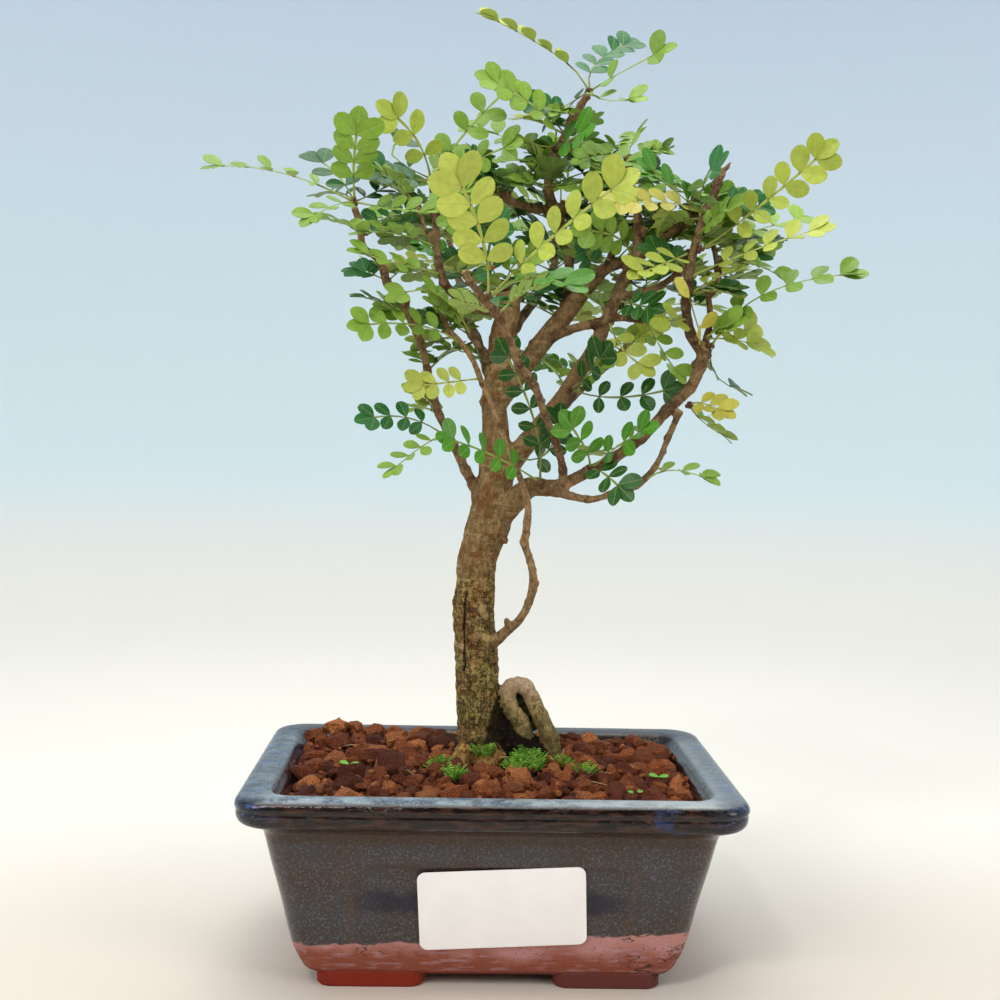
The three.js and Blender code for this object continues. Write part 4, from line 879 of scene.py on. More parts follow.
# Knots: scars and short spurs where leaves and shoots stood, left and right by turns
KNOTLESS_RADIUS = 6
KNOTLESS_SHARE = 0.35
knot_points, knot_faces = ball()
chance = random.Random(3)
knots = Heap()
for name, rows in limbs.items():
    if "root" in name:
        continue
    line = curve_through(rows, 2)[1:-1]
    for step, (x, y, z, radius) in enumerate(line):
        if radius > KNOTLESS_RADIUS or chance.random() < KNOTLESS_SHARE:
            continue
        angle = chance.uniform(-0.7, 0.7) + math.pi * (step % 2)
        side = np.array((math.cos(angle), math.sin(angle), chance.uniform(-0.2, 0.4)))
        size = min(radius, 3) * chance.uniform(0.3, 0.55) + 0.25
        spot = np.array((x, y, z)) + side * radius * 0.82
        knots.add(knot_points * size + spot, knot_faces)
# Spurs that stand out beside the trunk and along the sucker: place and length
SPURS = [(8.3, -2, 133.5, 1.1), (14, -1, 120.1, 1.2), (4.4, 3, 106.8, 1.5), (3.8, 8, 133, 1.5)]
for x, y, z, size in SPURS:
    spot = np.array((x, y, z))
    knots.add(knot_points * (0.75, 0.75, 1.1) * size + spot, knot_faces)
# Two clumps of fibrous root bulge from the front of the trunk's foot
ROOT_CLUMPS = [(-8.8, 4.5, 60.6, 3.9), (3, 4, 61.6, 3.7)]
for x, y, z, size in ROOT_CLUMPS:
    knots.add(knot_points * (1, 0.8, 0.9) * size + (x, y, z), knot_faces)
knots = knots.make("knots")
choose(tree)
for limb in limb_pieces + [knots]:
    limb.select_set(True)
bpy.ops.object.join()
# The limbs grow together into one skin, healed over at the forks
change(tree, "REMESH", mode="VOXEL", voxel_size=SKIN_STEP)
change(tree, "SMOOTH", factor=0.5, iterations=4)

# Each point of the bark is told the limb it lies on: its girth, the way along it, how weathered
# it is, and whether it is the bare looped root, a fibrous root or the black humus round them.
# The humus mass reaches up into the shadowed gap by the trunk, and so is partly painted shade
WEATHERED = {
    "sucker": 0.9, "crown_limb": 0.6, "crown_side": 0.5, "lower_limb": 0.5, "left_limb": 0.45,
    "pale_twig": 0.8, "front_limb": 0.3, "long_side_stub": 0.6,
}
SURFACES = {"looped_root": 1, "root_front_left": 2, "root_front": 2, "root_right": 3}
middles = []
for name, rows in limbs.items():
    line = curve_through(rows, 5)
    steps = np.linalg.norm(np.diff(line[:, :3], axis=0), axis=1)
    along = np.concatenate([[0], np.cumsum(steps)])
    told = np.tile((SURFACES.get(name, 0), WEATHERED.get(name, 0.2)), (len(line), 1))
    middles.append(np.column_stack([line, along, along[-1] - along, told]))
middles = np.vstack(middles)
count = len(tree.data.vertices)
places = np.empty(count * 3)
outward = np.empty(count * 3)
tree.data.vertices.foreach_get("co", places)
tree.data.vertices.foreach_get("normal", outward)
places = places.reshape(-1, 3)
outward = outward.reshape(-1, 3)
on_tree = (places - POT_CENTRE) / MM
nearest = np.empty(count, int)
# Each point's nearest place on a limb is found some thousands of points at a time
BATCH = 4000
for first in range(0, count, BATCH):
    part = on_tree[first:first + BATCH]
    away = np.linalg.norm(part[:, None, :] - middles[None, :, :3], axis=2) - middles[:, 3]
    nearest[first:first + BATCH] = away.argmin(axis=1)
_, _, _, radius_at, along, from_end, surface_at, weathered = middles[nearest].T
girth = np.clip((radius_at - 0.8) / 5.5, 0, 1)
looped = (surface_at == 1).astype(float)
fibrous = (surface_at == 2).astype(float)
humus_and_shade = (surface_at == 3).astype(float)
cut_end = (from_end < 0.05) & (surface_at == 0)
BARED_FROM = 116
SPLIT_X = -9.2
SPLIT_FOOT = 86
SPLIT_TOP = 119
SPLIT_DEPTH = 0.9
SPLIT_WIDTH = 0.55
SPLIT_WANDER = 1.3
TRUNK_Y = 12
rise = np.empty(count)
for i, (x, y, z) in enumerate(on_tree):
    spot = Vector((x, y, z))
    # The trunk is smoother above the height where its old bark has come away
    rough = girth[i] * (1 - looped[i]) * (1 - 0.6 * min(max((z - BARED_FROM) / 10, 0), 1))
    lumps = 0.6 * noise.noise(spot / 11) + 0.32 * noise.noise(spot / 4.5)
    plates = abs(noise.noise(Vector((x / 2.2, y / 2.2, z / 4.6)))) - 0.25
    ledges = abs(noise.noise(Vector((x / 8, y / 8, z / 2.1 + 40)))) - 0.22
    flakes = noise.noise(Vector((x / 1.1, y / 1.1, z / 1.8)))
    scaly = 0.85 * plates + 0.35 * min(ledges, 0.1) + 0.25 * flakes
    rise[i] = girth[i] * 1.1 * lumps + rough * scaly
    rise[i] += 0.1 * noise.noise(spot / 1.3)
    if y < TRUNK_Y and SPLIT_FOOT < z < SPLIT_TOP and girth[i] > 0.8:
        wander = SPLIT_X + SPLIT_WANDER * noise.noise(Vector((3, 1, z / 7)))
        rise[i] -= SPLIT_DEPTH * math.exp(-((x - wander) / SPLIT_WIDTH) ** 2)
    rings = math.sin(along[i] * 2.6 + 3.5 * noise.noise(spot / 4))
    rise[i] += looped[i] * (0.1 * rings + 0.22 * noise.noise(spot / 3.4))
    rise[i] += humus_and_shade[i] * 0.9 * noise.noise(spot / 2)
    rise[i] += fibrous[i] * 0.9 * noise.noise(Vector((x / 1.1, y / 1.1, z / 5)))
rise[cut_end] *= 0.3
places += outward * (rise * MM)[:, None]
tree.data.vertices.foreach_set("co", places.ravel())
told = {
    "girth": girth, "along": along, "looped": looped, "fibrous": fibrous, "humus_and_shade": humus_and_shade,
    "weathered": weathered, "cut_end": cut_end,
}
for key, value in told.items():
    layer = tree.data.attributes.new(key, "FLOAT", "POINT")
    layer.data.foreach_set("value", np.array(value, float))
tree.data.shade_smooth()
settle(tree, "tree_wood")

# Bark: dead cork in thin flakes, dull and dry, dark in its cracks. Twigs are brown under a torn
# paler film with pores about 2 mm apart, and olive algae cover the damp lower trunk.
bark, on_bark = new_finish("corky_bark", IOR=1.45, Specular_IOR_Level=0.25)
girth_at, along_at, looped_at, fibrous_at, humus_and_shade_at, weathered_at, cut_at = (
    node(bark, "Attribute", read="Fac", attribute_name=name)
    for name in ("girth", "along", "looped", "fibrous", "humus_and_shade", "weathered", "cut_end")
)
aside_at, deep_at, height = node(bark, "SeparateXYZ", {0: on_bark}, read=slice(3))
upright = node(bark, "Mapping", {"Vector": on_bark, "Scale": (1, 1, 0.5)})
flat_way = node(bark, "Mapping", {"Vector": on_bark, "Scale": (0.28, 0.28, 1)})
flakes = node(bark, "TexNoise", {"Vector": upright, "Scale": 0.8, "Detail": 6, "Roughness": 0.62})
plates = node(bark, "TexNoise", {"Vector": upright, "Scale": 0.36, "Detail": 4, "Roughness": 0.62})
ledges = node(bark, "TexNoise", {"Vector": flat_way, "Scale": 0.5, "Detail": 4, "Roughness": 0.6})
blotch, patch, dust = (
    node(bark, "TexNoise", {"Vector": on_bark, "Scale": scale, "Detail": detail})
    for scale, detail in ((0.09, 3), (0.22, 4), (2.1, 4))
)
# Trunk: olive and brown flakes low down, and smoother, paler tan where the old bark came away
flaked = node(bark, "MapRange", {0: flakes, 1: 0.36, 2: 0.64})
old_tone = node(bark, "Mix", {0: flaked, 6: "#7A5E36", 7: "#BC9C60"})
young_tone = node(bark, "Mix", {0: flaked, 6: "#80663E", 7: "#AE8F62"})
bared = node(bark, "Math", {0: patch, 1: 16, 2: height}, operation="MULTIPLY_ADD")
bared = node(bark, "MapRange", {0: bared, 1: 125, 2: 133})
trunk_tone = node(bark, "Mix", {0: bared, 6: old_tone, 7: young_tone})
pale = node(bark, "MapRange", {0: ledges, 1: 0.53, 2: 0.64, 4: 0.6})
rust = node(bark, "MapRange", {0: patch, 1: 0.5, 2: 0.6, 4: 0.55})
low_down = node(bark, "MapRange", {0: height, 1: 126, 2: 84})
algae = node(bark, "MapRange", {0: blotch, 1: 0.4, 2: 0.58, 4: 0.65})
algae = node(bark, "Math", {0: algae, 1: low_down}, operation="MULTIPLY")
algae_tone = node(bark, "Mix", {0: flaked, 6: "#66622C", 7: "#ACA25C"})
# Cracks between the plates, up the trunk and across it
crack = line_near(bark, plates, 0.5, 0.03, 0.006, 0.8)
across = line_near(bark, ledges, 0.5, 0.024, 0.005, 0.7)
crack = node(bark, "Math", {0: crack, 1: across}, operation="MAXIMUM")
healed = node(bark, "MapRange", {0: bared, 3: 1, 4: 0.3})
crack = node(bark, "Math", {0: crack, 1: healed}, operation="MULTIPLY")
# The split up the front of the trunk is painted near black: painted shade deep in its groove
split = node(bark, "Math", {0: patch, 1: 3, 2: aside_at}, operation="MULTIPLY_ADD")
split = node(bark, "Math", {0: split, 1: 7.7}, operation="ADD")
split = node(bark, "Math", {0: split}, operation="ABSOLUTE")
split = node(bark, "MapRange", {0: split, 1: 0.6, 2: 0.2, 4: 0.9})
in_front = node(bark, "MapRange", {0: deep_at, 1: 11, 2: 9})
split_top = node(bark, "MapRange", {0: height, 1: SPLIT_TOP, 2: SPLIT_TOP - 5})
split_foot = node(bark, "MapRange", {0: height, 1: SPLIT_FOOT, 2: SPLIT_FOOT + 4})
for limit in (in_front, split_top, split_foot):
    split = node(bark, "Math", {0: split, 1: limit}, operation="MULTIPLY")
for share, layer in (
    (pale, "#BFA676"), (rust, "#7C4A26"), (algae, algae_tone), (crack, "#20160C"),
    (split, "#1A110A"),
):
    trunk_tone = node(bark, "Mix", {0: share, 6: trunk_tone, 7: layer})
# Twigs, with worn places and ring scars where bud scales sat
pores = node(bark, "TexVoronoi", {"Vector": on_bark, "Scale": 0.62})
pores = node(bark, "MapRange", {0: pores, 1: 0.26, 2: 0.14, 4: 0.6})
film = node(bark, "MapRange", {0: patch, 1: 0.42, 2: 0.6})
twig_tone = node(bark, "Mix", {0: film, 6: "#4E3422", 7: "#947856"})
worn = node(bark, "Mix", {0: flaked, 6: "#8C6C48", 7: "#B8966A"})
scar = node(bark, "Math", {0: along_at, 1: 1.25}, operation="MULTIPLY")
scar = node(bark, "Math", {0: patch, 1: 6, 2: scar}, operation="MULTIPLY_ADD")
scar = node(bark, "Math", {0: scar}, operation="SINE")
scar = node(bark, "MapRange", {0: scar, 1: 0.93, 2: 1, 4: 0.65})
for share, layer in ((weathered_at, worn), (pores, "#B49C7A"), (scar, "#3E281A")):
    twig_tone = node(bark, "Mix", {0: share, 6: twig_tone, 7: layer})
stout = node(bark, "MapRange", {0: girth_at, 1: 0.16, 2: 0.62})
bark_tone = node(bark, "Mix", {0: stout, 6: twig_tone, 7: trunk_tone})
# The looped root is bare and pale, wrinkled and spotted, and pinkish along its top
spotted = node(bark, "MapRange", {0: flakes, 1: 0.34, 2: 0.56})
root_tone = node(bark, "Mix", {0: spotted, 6: "#8A6A34", 7: "#CDB07A"})
root_top = node(bark, "MapRange", {0: height, 1: 78, 2: 86, 4: 0.7})
soiled = node(bark, "Math", {0: patch, 1: 26, 2: height}, operation="MULTIPLY_ADD")
soiled = node(bark, "MapRange", {0: soiled, 1: 93, 2: 80, 4: 0.7})
for share, layer in ((root_top, "#D8B89E"), (soiled, "#605A28")):
    root_tone = node(bark, "Mix", {0: share, 6: root_tone, 7: layer})
fibre_tone = node(bark, "Mix", {0: flaked, 6: "#7A4E22", 7: "#C49A58"})
# Low on the trunk the bark is painted near black, higher on its right beside the looped root: damp
# bark, and painted shade in the shadowed gap by that root. The humus mass gets the same near black,
# but the bare roots keep only a tenth of it
beside = node(bark, "MapRange", {0: aside_at, 1: -3, 2: 3, 3: 57, 4: 74})
damp_and_shade = node(bark, "Math", {0: blotch, 1: 16, 2: beside}, operation="MULTIPLY_ADD")
damp_and_shade = node(bark, "Math", {0: height, 1: damp_and_shade}, operation="SUBTRACT")
damp_and_shade = node(bark, "MapRange", {0: damp_and_shade, 1: 4, 2: -1, 4: 0.9})
shaded = node(bark, "Math", {0: damp_and_shade, 1: humus_and_shade_at}, operation="MAXIMUM")
bare_root = node(bark, "Math", {0: fibrous_at, 1: looped_at}, operation="MAXIMUM")
darkening_kept = node(bark, "MapRange", {0: bare_root, 3: 1, 4: 0.1}, interpolation_type="LINEAR")
shaded = node(bark, "Math", {0: shaded, 1: darkening_kept}, operation="MULTIPLY")
for share, layer in (
    (looped_at, root_tone), (fibrous_at, fibre_tone), (cut_at, "#C09468"), (shaded, "#1A120A"),
):
    bark_tone = node(bark, "Mix", {0: share, 6: bark_tone, 7: layer})
dusted = node(
    bark, "MapRange", {0: dust, 1: 0.3, 2: 0.7, 3: 0.76, 4: 1.26}, interpolation_type="LINEAR"
)
bark_tone = node(bark, "VectorMath", {0: bark_tone, "Scale": dusted}, operation="SCALE")
relief = node(bark, "Math", {0: flakes, 1: 1.6, 2: dust}, operation="MULTIPLY_ADD")
relief = node(bark, "Math", {0: crack, 1: -0.9, 2: relief}, operation="MULTIPLY_ADD")
skin = node(bark, "Bump", {"Height": relief, "Strength": 0.9, "Distance": 0.7 * MM})
dull = node(
    bark, "MapRange", {0: girth_at, 3: 0.62, 4: 0.92}, interpolation_type="LINEAR"
)
coat(bark, Base_Color=bark_tone, Roughness=dull, Normal=skin)
wear(tree, bark)
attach(tree, "root")
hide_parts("tree")

# Sprays: each shoot ends in a spur of bud scales with a few compound leaves. A leaf is a winged
# stalk with small round leaflets in pairs and one at its tip, thin, glossy and dotted with oil.
# A spray is where it springs from, then for each leaf its middle and tip, its lean and fold in
# degrees, its pairs of leaflets, the length of a leaflet and its age, which gives its green, and
# the degrees between leaflet and stalk where they aren't the usual 66.
sprays = {
    "left_tip": ((-47, -4, 240.6), [
        ((-71, -12, 248), (-92, -20, 247), 25, 20, 5, 6.5, "mid"),
        ((-47, -8, 254), (-45, -12, 268), 85, 10, 4, 8.5, "olive"),
        ((-53, -16, 237), (-61, -26, 230), 30, 15, 3, 6.5, "mid"),
        ((-54, 4, 251), (-64, 10, 258), 40, 15, 3, 7.5, "teal"),
        ((-33, -14, 237), (-21, -24, 235), 35, 25, 4, 6.5, "olive"),
        ((-42, 6, 245), (-33, 16, 252), 60, 15, 3, 6.5, "dark"),
        ((-54, 10, 246), (-61, 22, 246), 40, 15, 3, 6.5, "dark"),
    ]),
    "upright_mid": ((-20.7, -3, 227), [
        ((-33, -10, 230), (-47, -17, 229), 20, 40, 4, 6.5, "mid"),
    ]),
    "upright_low": ((-19.2, -2.6, 218.6), [
        ((-31, -14, 220), (-47, -23, 223), 35, 15, 4, 7, "mid"),
    ]),
    "inner_low": ((-9, 6, 200), [
        ((-21, -10, 212), (-35, -20, 208), 40, 15, 3, 7, "olive"),
    ]),
    "sucker_top": ((-12.4, 3, 197.2), [
        ((-27, -8, 202), (-47, -18, 200), 55, 15, 5, 7, "mid"),
    ]),
    "sucker_mid": ((-5.9, 3, 186), [
        ((-18, -4, 184), (-30, -8, 182), 60, 10, 4, 6.5, "pale"),
    ]),
    "left_low": ((-17, 3.2, 167.5), [
        ((-31, 0, 173), (-45, -6, 171), 50, 10, 4, 6.5, "teal"),
        ((-25, -10, 163), (-35, -20, 154), 10, 20, 4, 6, "mid"),
    ]),
    "fork_front": ((14, -3.2, 153), [
        ((-3, -14, 162), (-19, -26, 167), 65, 10, 5, 6.5, "bright"),
        ((11, -12, 173), (-1, -22, 197), 75, 10, 6, 6.5, "dark"),
    ]),
    "front": ((-4.5, -44.8, 207.5), [
        ((-8, -56, 226), (-18, -66, 243), 75, 10, 5, 10, "pale"),
        ((12, -58, 223), (34, -70, 240), 60, 15, 6, 8.5, "pale"),
        ((8, -57, 212), (21, -68, 207), 25, 15, 4, 8, "bright"),
    ]),
    "crown_tip": ((28.4, 15, 282), [
        ((17, 10, 292), (-9, 6, 304), 14, 26, 5, 7.5, "pale", 40),
        ((32, 28, 295), (47, 42, 307), 55, 15, 5, 8, "teal", 50),
        ((40, 4, 287), (53, -6, 292), 55, 25, 2, 8, "mid"),
        ((34, 2, 276), (44, -9, 275), 40, 25, 2, 7, "mid"),
        ((22, 26, 280), (15, 36, 277), 60, 10, 2, 8, "dark"),
    ]),
    "crown_mid": ((17.6, 16, 263.4), [
        ((13, 6, 272), (-9, 0, 283), 55, 15, 5, 7.5, "mid"),
        ((3, 26, 268), (-12, 36, 276), 40, 20, 4, 7.5, "olive"),
        ((23, 6, 265), (28, -3, 266), 70, 10, 2, 8.5, "bright"),
        ((32, 8, 259), (44, -3, 255), 45, 20, 4, 7, "mid"),
    ]),
    "crown_low": ((16.8, 22, 252), [
        ((14, 28, 260), (16, 34, 271), 80, 10, 4, 7.5, "bright"),
        ((23, 34, 255), (23, 44, 266), 60, 15, 3, 7, "dark"),
        ((37, 30, 260), (58, 42, 261), 60, 15, 4, 7.5, "dark"),
    ]),
    "side_end": ((-1.6, 17, 249), [
        ((1, 8, 249), (-7, -3, 251), 60, 15, 3, 7, "dark"),
        ((7, 30, 243), (17, 40, 241), 60, 10, 3, 7.5, "dark"),
    ]),
    "upright_back": ((-23, 9, 250.6), [
        ((-29, 0, 263), (-40, -8, 270), 75, 10, 3, 8.5, "pale"),
        ((-10, 14, 270), (5, 16, 285), 60, 15, 4, 8, "mid"),
        ((-34, 4, 250), (-46, 4, 254), 45, 15, 4, 7.5, "teal"),
        ((-37, 20, 261), (-30, 30, 268), 50, 15, 2, 7, "dark"),
        ((-8, 0, 256), (5, -9, 260), 65, 10, 3, 7, "olive"),
        ((-17, 0, 243), (-16, -9, 231), 70, 10, 3, 7, "olive"),
    ]),
    "right_top": ((64, -8, 239), [
        ((50, -16, 241), (29, -24, 238), 40, 15, 5, 7.5, "yellow"),
        ((53, -18, 244), (40, -30, 251), 50, 20, 3, 8, "bright"),
        ((61, -18, 245), (67, -28, 254), 45, 15, 3, 8, "teal"),
    ]),
    "right_mid": ((63.2, -7.4, 228), [
        ((80, -16, 241), (100, -26, 259), 70, 10, 6, 8, "pale"),
        ((82, 4, 236), (104, 14, 243), 35, 15, 4, 7.5, "mid"),
    ]),
    "right_inner": ((59.4, -5.4, 227), [
        ((50, -18, 222), (38, -30, 216), 40, 15, 4, 7.5, "pale"),
        ((57, 8, 228), (51, 20, 226), 50, 10, 3, 7.5, "mid"),
    ]),
    "right_low": ((59.6, -6, 219.2), [
        ((78, -16, 227), (100, -26, 234), 40, 15, 5, 7.5, "pale"),
    ]),
    "twig_mid": ((72.6, 5, 225), [
        ((83, 4, 225), (94, 0, 219), 20, 20, 3, 7, "mid"),
        ((79, 16, 227), (90, 26, 233), 40, 15, 2, 7.5, "teal"),
    ]),
    "twig_low": ((70, 8.4, 233), [
        ((69, 16, 237), (71, 24, 244), 70, 10, 2, 8, "olive"),
        ((72, 10, 244), (75, 6, 251), 75, 10, 2, 8.5, "olive"),
    ]),
    "knot": ((67, -7, 197.4), [
        ((83, -14, 214), (112, -22, 220), 35, 15, 5, 8, "mid"),
        ((74, -2, 203), (86, 4, 203), 75, 10, 2, 7.5, "pale"),
        ((71, 0, 188), (82, 6, 184), 30, 15, 2, 7, "dark"),
    ]),
    "knot_back": ((67.9, 2.4, 211.5), [
        ((64, 13, 214), (60, 21, 221), 20, 20, 4, 6.5, "teal"),
    ]),
    "knot_front": ((63.6, -6.4, 197), [
        ((61, -16, 207), (53, -24, 216), 50, 20, 1, 8, "yellow"),
    ]),
    "right_under": ((60.6, -7.4, 179), [
        ((65, -12, 179), (73, -18, 175), 50, 15, 3, 6.5, "yellow"),
        ((67, -2, 173), (77, 4, 168), 25, 25, 3, 6.5, "olive"),
    ]),
    "lower_end": ((46.2, -11.9, 154.6), [
        ((56, -16, 158), (68, -22, 154), 20, 20, 3, 6.5, "mid"),
    ]),
    "right_left": ((59.5, -6.2, 206), [
        ((54, -12, 205), (47, -18, 203), 50, 10, 1, 8, "pale"),
    ]),
    "short_tip": ((48, 6, 206), [
        ((53, 0, 196), (59, -6, 186), 15, 25, 3, 6.5, "mid"),
    ]),
    "short_mid": ((36.1, 10, 206.4), [
        ((41, 4, 196), (50, -2, 189), 60, 10, 3, 7, "pale"),
    ]),
    "fork_right": ((30, -5.6, 157.6), [
        ((34, -15, 156), (41, -23, 149), 70, 10, 3, 7, "dark"),
        ((27, -12, 165), (19, -20, 175), 70, 10, 3, 7.5, "bright"),
        ((39, -12, 166), (48, -22, 172), 50, 15, 3, 7, "bright"),
    ]),
    "main_low": ((24, 11.4, 183.4), [
        ((30, 4, 189), (35, -4, 198), 60, 15, 3, 7, "dark"),
        ((40, 4, 181), (59, -5, 185), 65, 10, 4, 7, "dark"),
    ]),
    "main_end": ((43.4, 8, 227), [
        ((36, 2, 233), (22, -5, 233), 75, 10, 4, 7.5, "olive"),
    ]),
    "middle_end": ((32, 12.6, 221), [
        ((28, 6, 228), (24, -2, 236), 60, 15, 3, 7.5, "teal"),
    ]),
    "main_fork": ((39, 9.6, 213), [
        ((45, 4, 211), (52, -4, 209), 75, 10, 3, 7, "dark"),
    ]),
    "long_side": ((56, 3.8, 235.6), [
        ((46, 20, 242), (29, 24, 242), 60, 15, 4, 8, "dark"),
    ]),
    "trunk_top": ((2.2, 12, 216.4), [
        ((13, 24, 216), (23, 33, 221), 65, 10, 3, 7, "dark"),
        ((5, 6, 224), (15, 0, 229), 60, 10, 3, 7.5, "olive"),
        ((-4, 4, 227), (2, -4, 239), 60, 15, 4, 8, "teal"),
        ((-10, 24, 219), (-17, 33, 232), 60, 15, 4, 7, "dark"),
    ]),
    "crotch": ((6, 8.2, 160), [
        ((17, 6, 163), (20, 0, 178), 60, 10, 4, 7, "dark"),
    ]),
    "back_left": ((-18, 56, 240.4), [
        ((-32, 56, 246), (-48, 57, 243), 15, 15, 4, 7, "mid"),
        ((-28, 71, 243), (-37, 84, 237), -30, 15, 4, 7.5, "dark"),
        ((-9, 70, 247), (-2, 82, 251), -40, 15, 3, 7.5, "mid"),
        ((-20, 50, 254), (-22, 44, 266), 20, 15, 3, 7.5, "olive"),
    ]),
    "back_middle": ((23, 62, 250.4), [
        ((12, 74, 256), (2, 80, 256), -30, 15, 4, 7.5, "mid"),
        ((34, 77, 255), (42, 88, 252), -30, 15, 4, 7.5, "dark"),
        ((38, 64, 259), (52, 66, 260), 10, 15, 4, 7.5, "mid"),
        ((22, 58, 264), (18, 54, 276), 40, 15, 3, 8, "mid"),
        ((26, 78, 246), (28, 92, 236), -60, 15, 3, 7.5, "dark"),
    ]),
    "back_right": ((53, 58, 213.4), [
        ((70, 57, 217), (85, 56, 213), 0, 15, 4, 7.5, "mid"),
        ((63, 74, 216), (72, 88, 211), -30, 15, 4, 7.5, "dark"),
        ((43, 70, 217), (34, 82, 215), -40, 15, 4, 7, "mid"),
        ((64, 52, 224), (74, 48, 234), 20, 15, 3, 7.5, "olive"),
        ((44, 52, 224), (34, 44, 232), 30, 15, 3, 7.5, "mid"),
    ]),
}
# A leaf of each age varies between two greens, and is as glossy as the number says
LEAF_AGES = {
    "pale": ("#A6B442", "#BEC85C", 0.2),
    "mid": ("#729830", "#8EB044", 0.5),
    "bright": ("#448420", "#5C982E", 0.7),
    "dark": ("#1C4A18", "#2A6022", 0.8),
    "teal": ("#1E5A2A", "#347640", 0.45),
    "yellow": ("#A6AE3C", "#C4B64C", 0.3),
    "olive": ("#6E922E", "#8AA840", 0.4),
}
# A leaflet's body in millimetres, its half width and droop as shares of its length, how far it
# waves, and the degrees by which its halves rise from the midrib
BLADE_BODY = 0.22
HALF_WIDTH = (0.32, 0.36)
DROOP = (0.02, 0.16)
WAVE = 0.05
KEEL = (6, 20)
# Stems, buds and undersides are told apart from blades by where they lie in the blade's map
OFF_BLADE = (0, 80)
UNDERSIDE = (0, 40)
# A leaflet's half width along it, from its wedge base to its round notched end
LEAFLET_ROWS = np.array([
    (0, 0.08), (0.1, 0.34), (0.27, 0.74), (0.47, 0.97), (0.63, 1), (0.81, 0.83), (0.94, 0.5),
    (1, 0.18),
])
ACROSS = np.array([-1, -0.5, 0, 0.5, 1])
steps_along = len(LEAFLET_ROWS)
steps_across = len(ACROSS)
blade_along = np.repeat(LEAFLET_ROWS[:, 0], steps_across)
blade_half = np.repeat(LEAFLET_ROWS[:, 1], steps_across)
blade_side = np.tile(ACROSS, steps_along)
blade_along[-3] -= 0.025
blade_faces = []
below = steps_along * steps_across
for step in range(steps_along - 1):
    for column in range(steps_across - 1):
        corner = step * steps_across + column
        face = (corner, corner + steps_across, corner + steps_across + 1, corner + 1)
        blade_faces.append(face)
        blade_faces.append(tuple(below + point for point in reversed(face)))
outline = [step * steps_across for step in range(steps_along)]
outline += [below - steps_across + column for column in range(1, steps_across)]
outline += [(step + 1) * steps_across - 1 for step in range(steps_along - 2, -1, -1)]
outline += list(range(steps_across - 2, 0, -1))
for here, there in zip(outline, outline[1:] + outline[:1]):
    blade_faces.append((below + here, below + there, there, here))


def add_leaflet(heap, root, way, face, length, colour, gloss, chance):
    """Lays one leaflet: its root, the way it points, the way it faces and its length."""
    face = unit(face - way * (face @ way))
    aside = np.cross(face, way)
    width = length * chance.uniform(*HALF_WIDTH)
    x = blade_along * length
    y = blade_side * blade_half * width
    keel = math.tan(math.radians(chance.uniform(*KEEL)))
    droop = chance.uniform(*DROOP)
    wave = chance.uniform(-WAVE, WAVE) * length
    z = np.abs(y) * keel - droop * length * blade_along ** 2
    z = z + wave * blade_side * np.sin(3 * blade_along) - 0.05 * y * y
    surface = root + np.outer(x, way) + np.outer(y, aside)
    thick = BLADE_BODY / 2 * (1 - 0.4 * np.abs(blade_side))
    points = np.vstack([
        surface + np.outer(z + thick, face),
        surface + np.outer(z - thick, face),
    ])
    flat = np.column_stack([x, y])
    heap.add(
        points, blade_faces, leaf_tone=colour, under=np.repeat([0, 1], below), woody=0,
        gloss=gloss, blade=np.vstack([flat, flat + UNDERSIDE]),
    )


def add_stem(heap, line, sides, faces_up, half_widths, half_heights, colour, woody, gloss=0.2):
    """A tube of four sides along a line, as wide and as thick at each place as it is told."""
    rings = []
    for point, aside, face, wide, thick in zip(line, sides, faces_up, half_widths, half_heights):
        rings += [point + aside * wide, point + face * thick]
        rings += [point - aside * wide, point - face * thick]
    faces = []
    for ring in range(len(line) - 1):
        for corner in range(4):
            a = ring * 4 + corner
            b = ring * 4 + (corner + 1) % 4
            faces.append((a, b, b + 4, a + 4))
    last = (len(line) - 1) * 4
    faces += [(3, 2, 1, 0), (last, last + 1, last + 2, last + 3)]
    heap.add(
        np.array(rings), faces, leaf_tone=colour, under=0, woody=np.repeat(woody, 4), gloss=gloss,
        blade=OFF_BLADE,
    )


USUAL_SPREAD = 66
SPREAD_LOSS = 14
STALK_TONE = "#A9AE5C"
SHORTEST_PETIOLE = 4
TIP_SHARE = 0.95


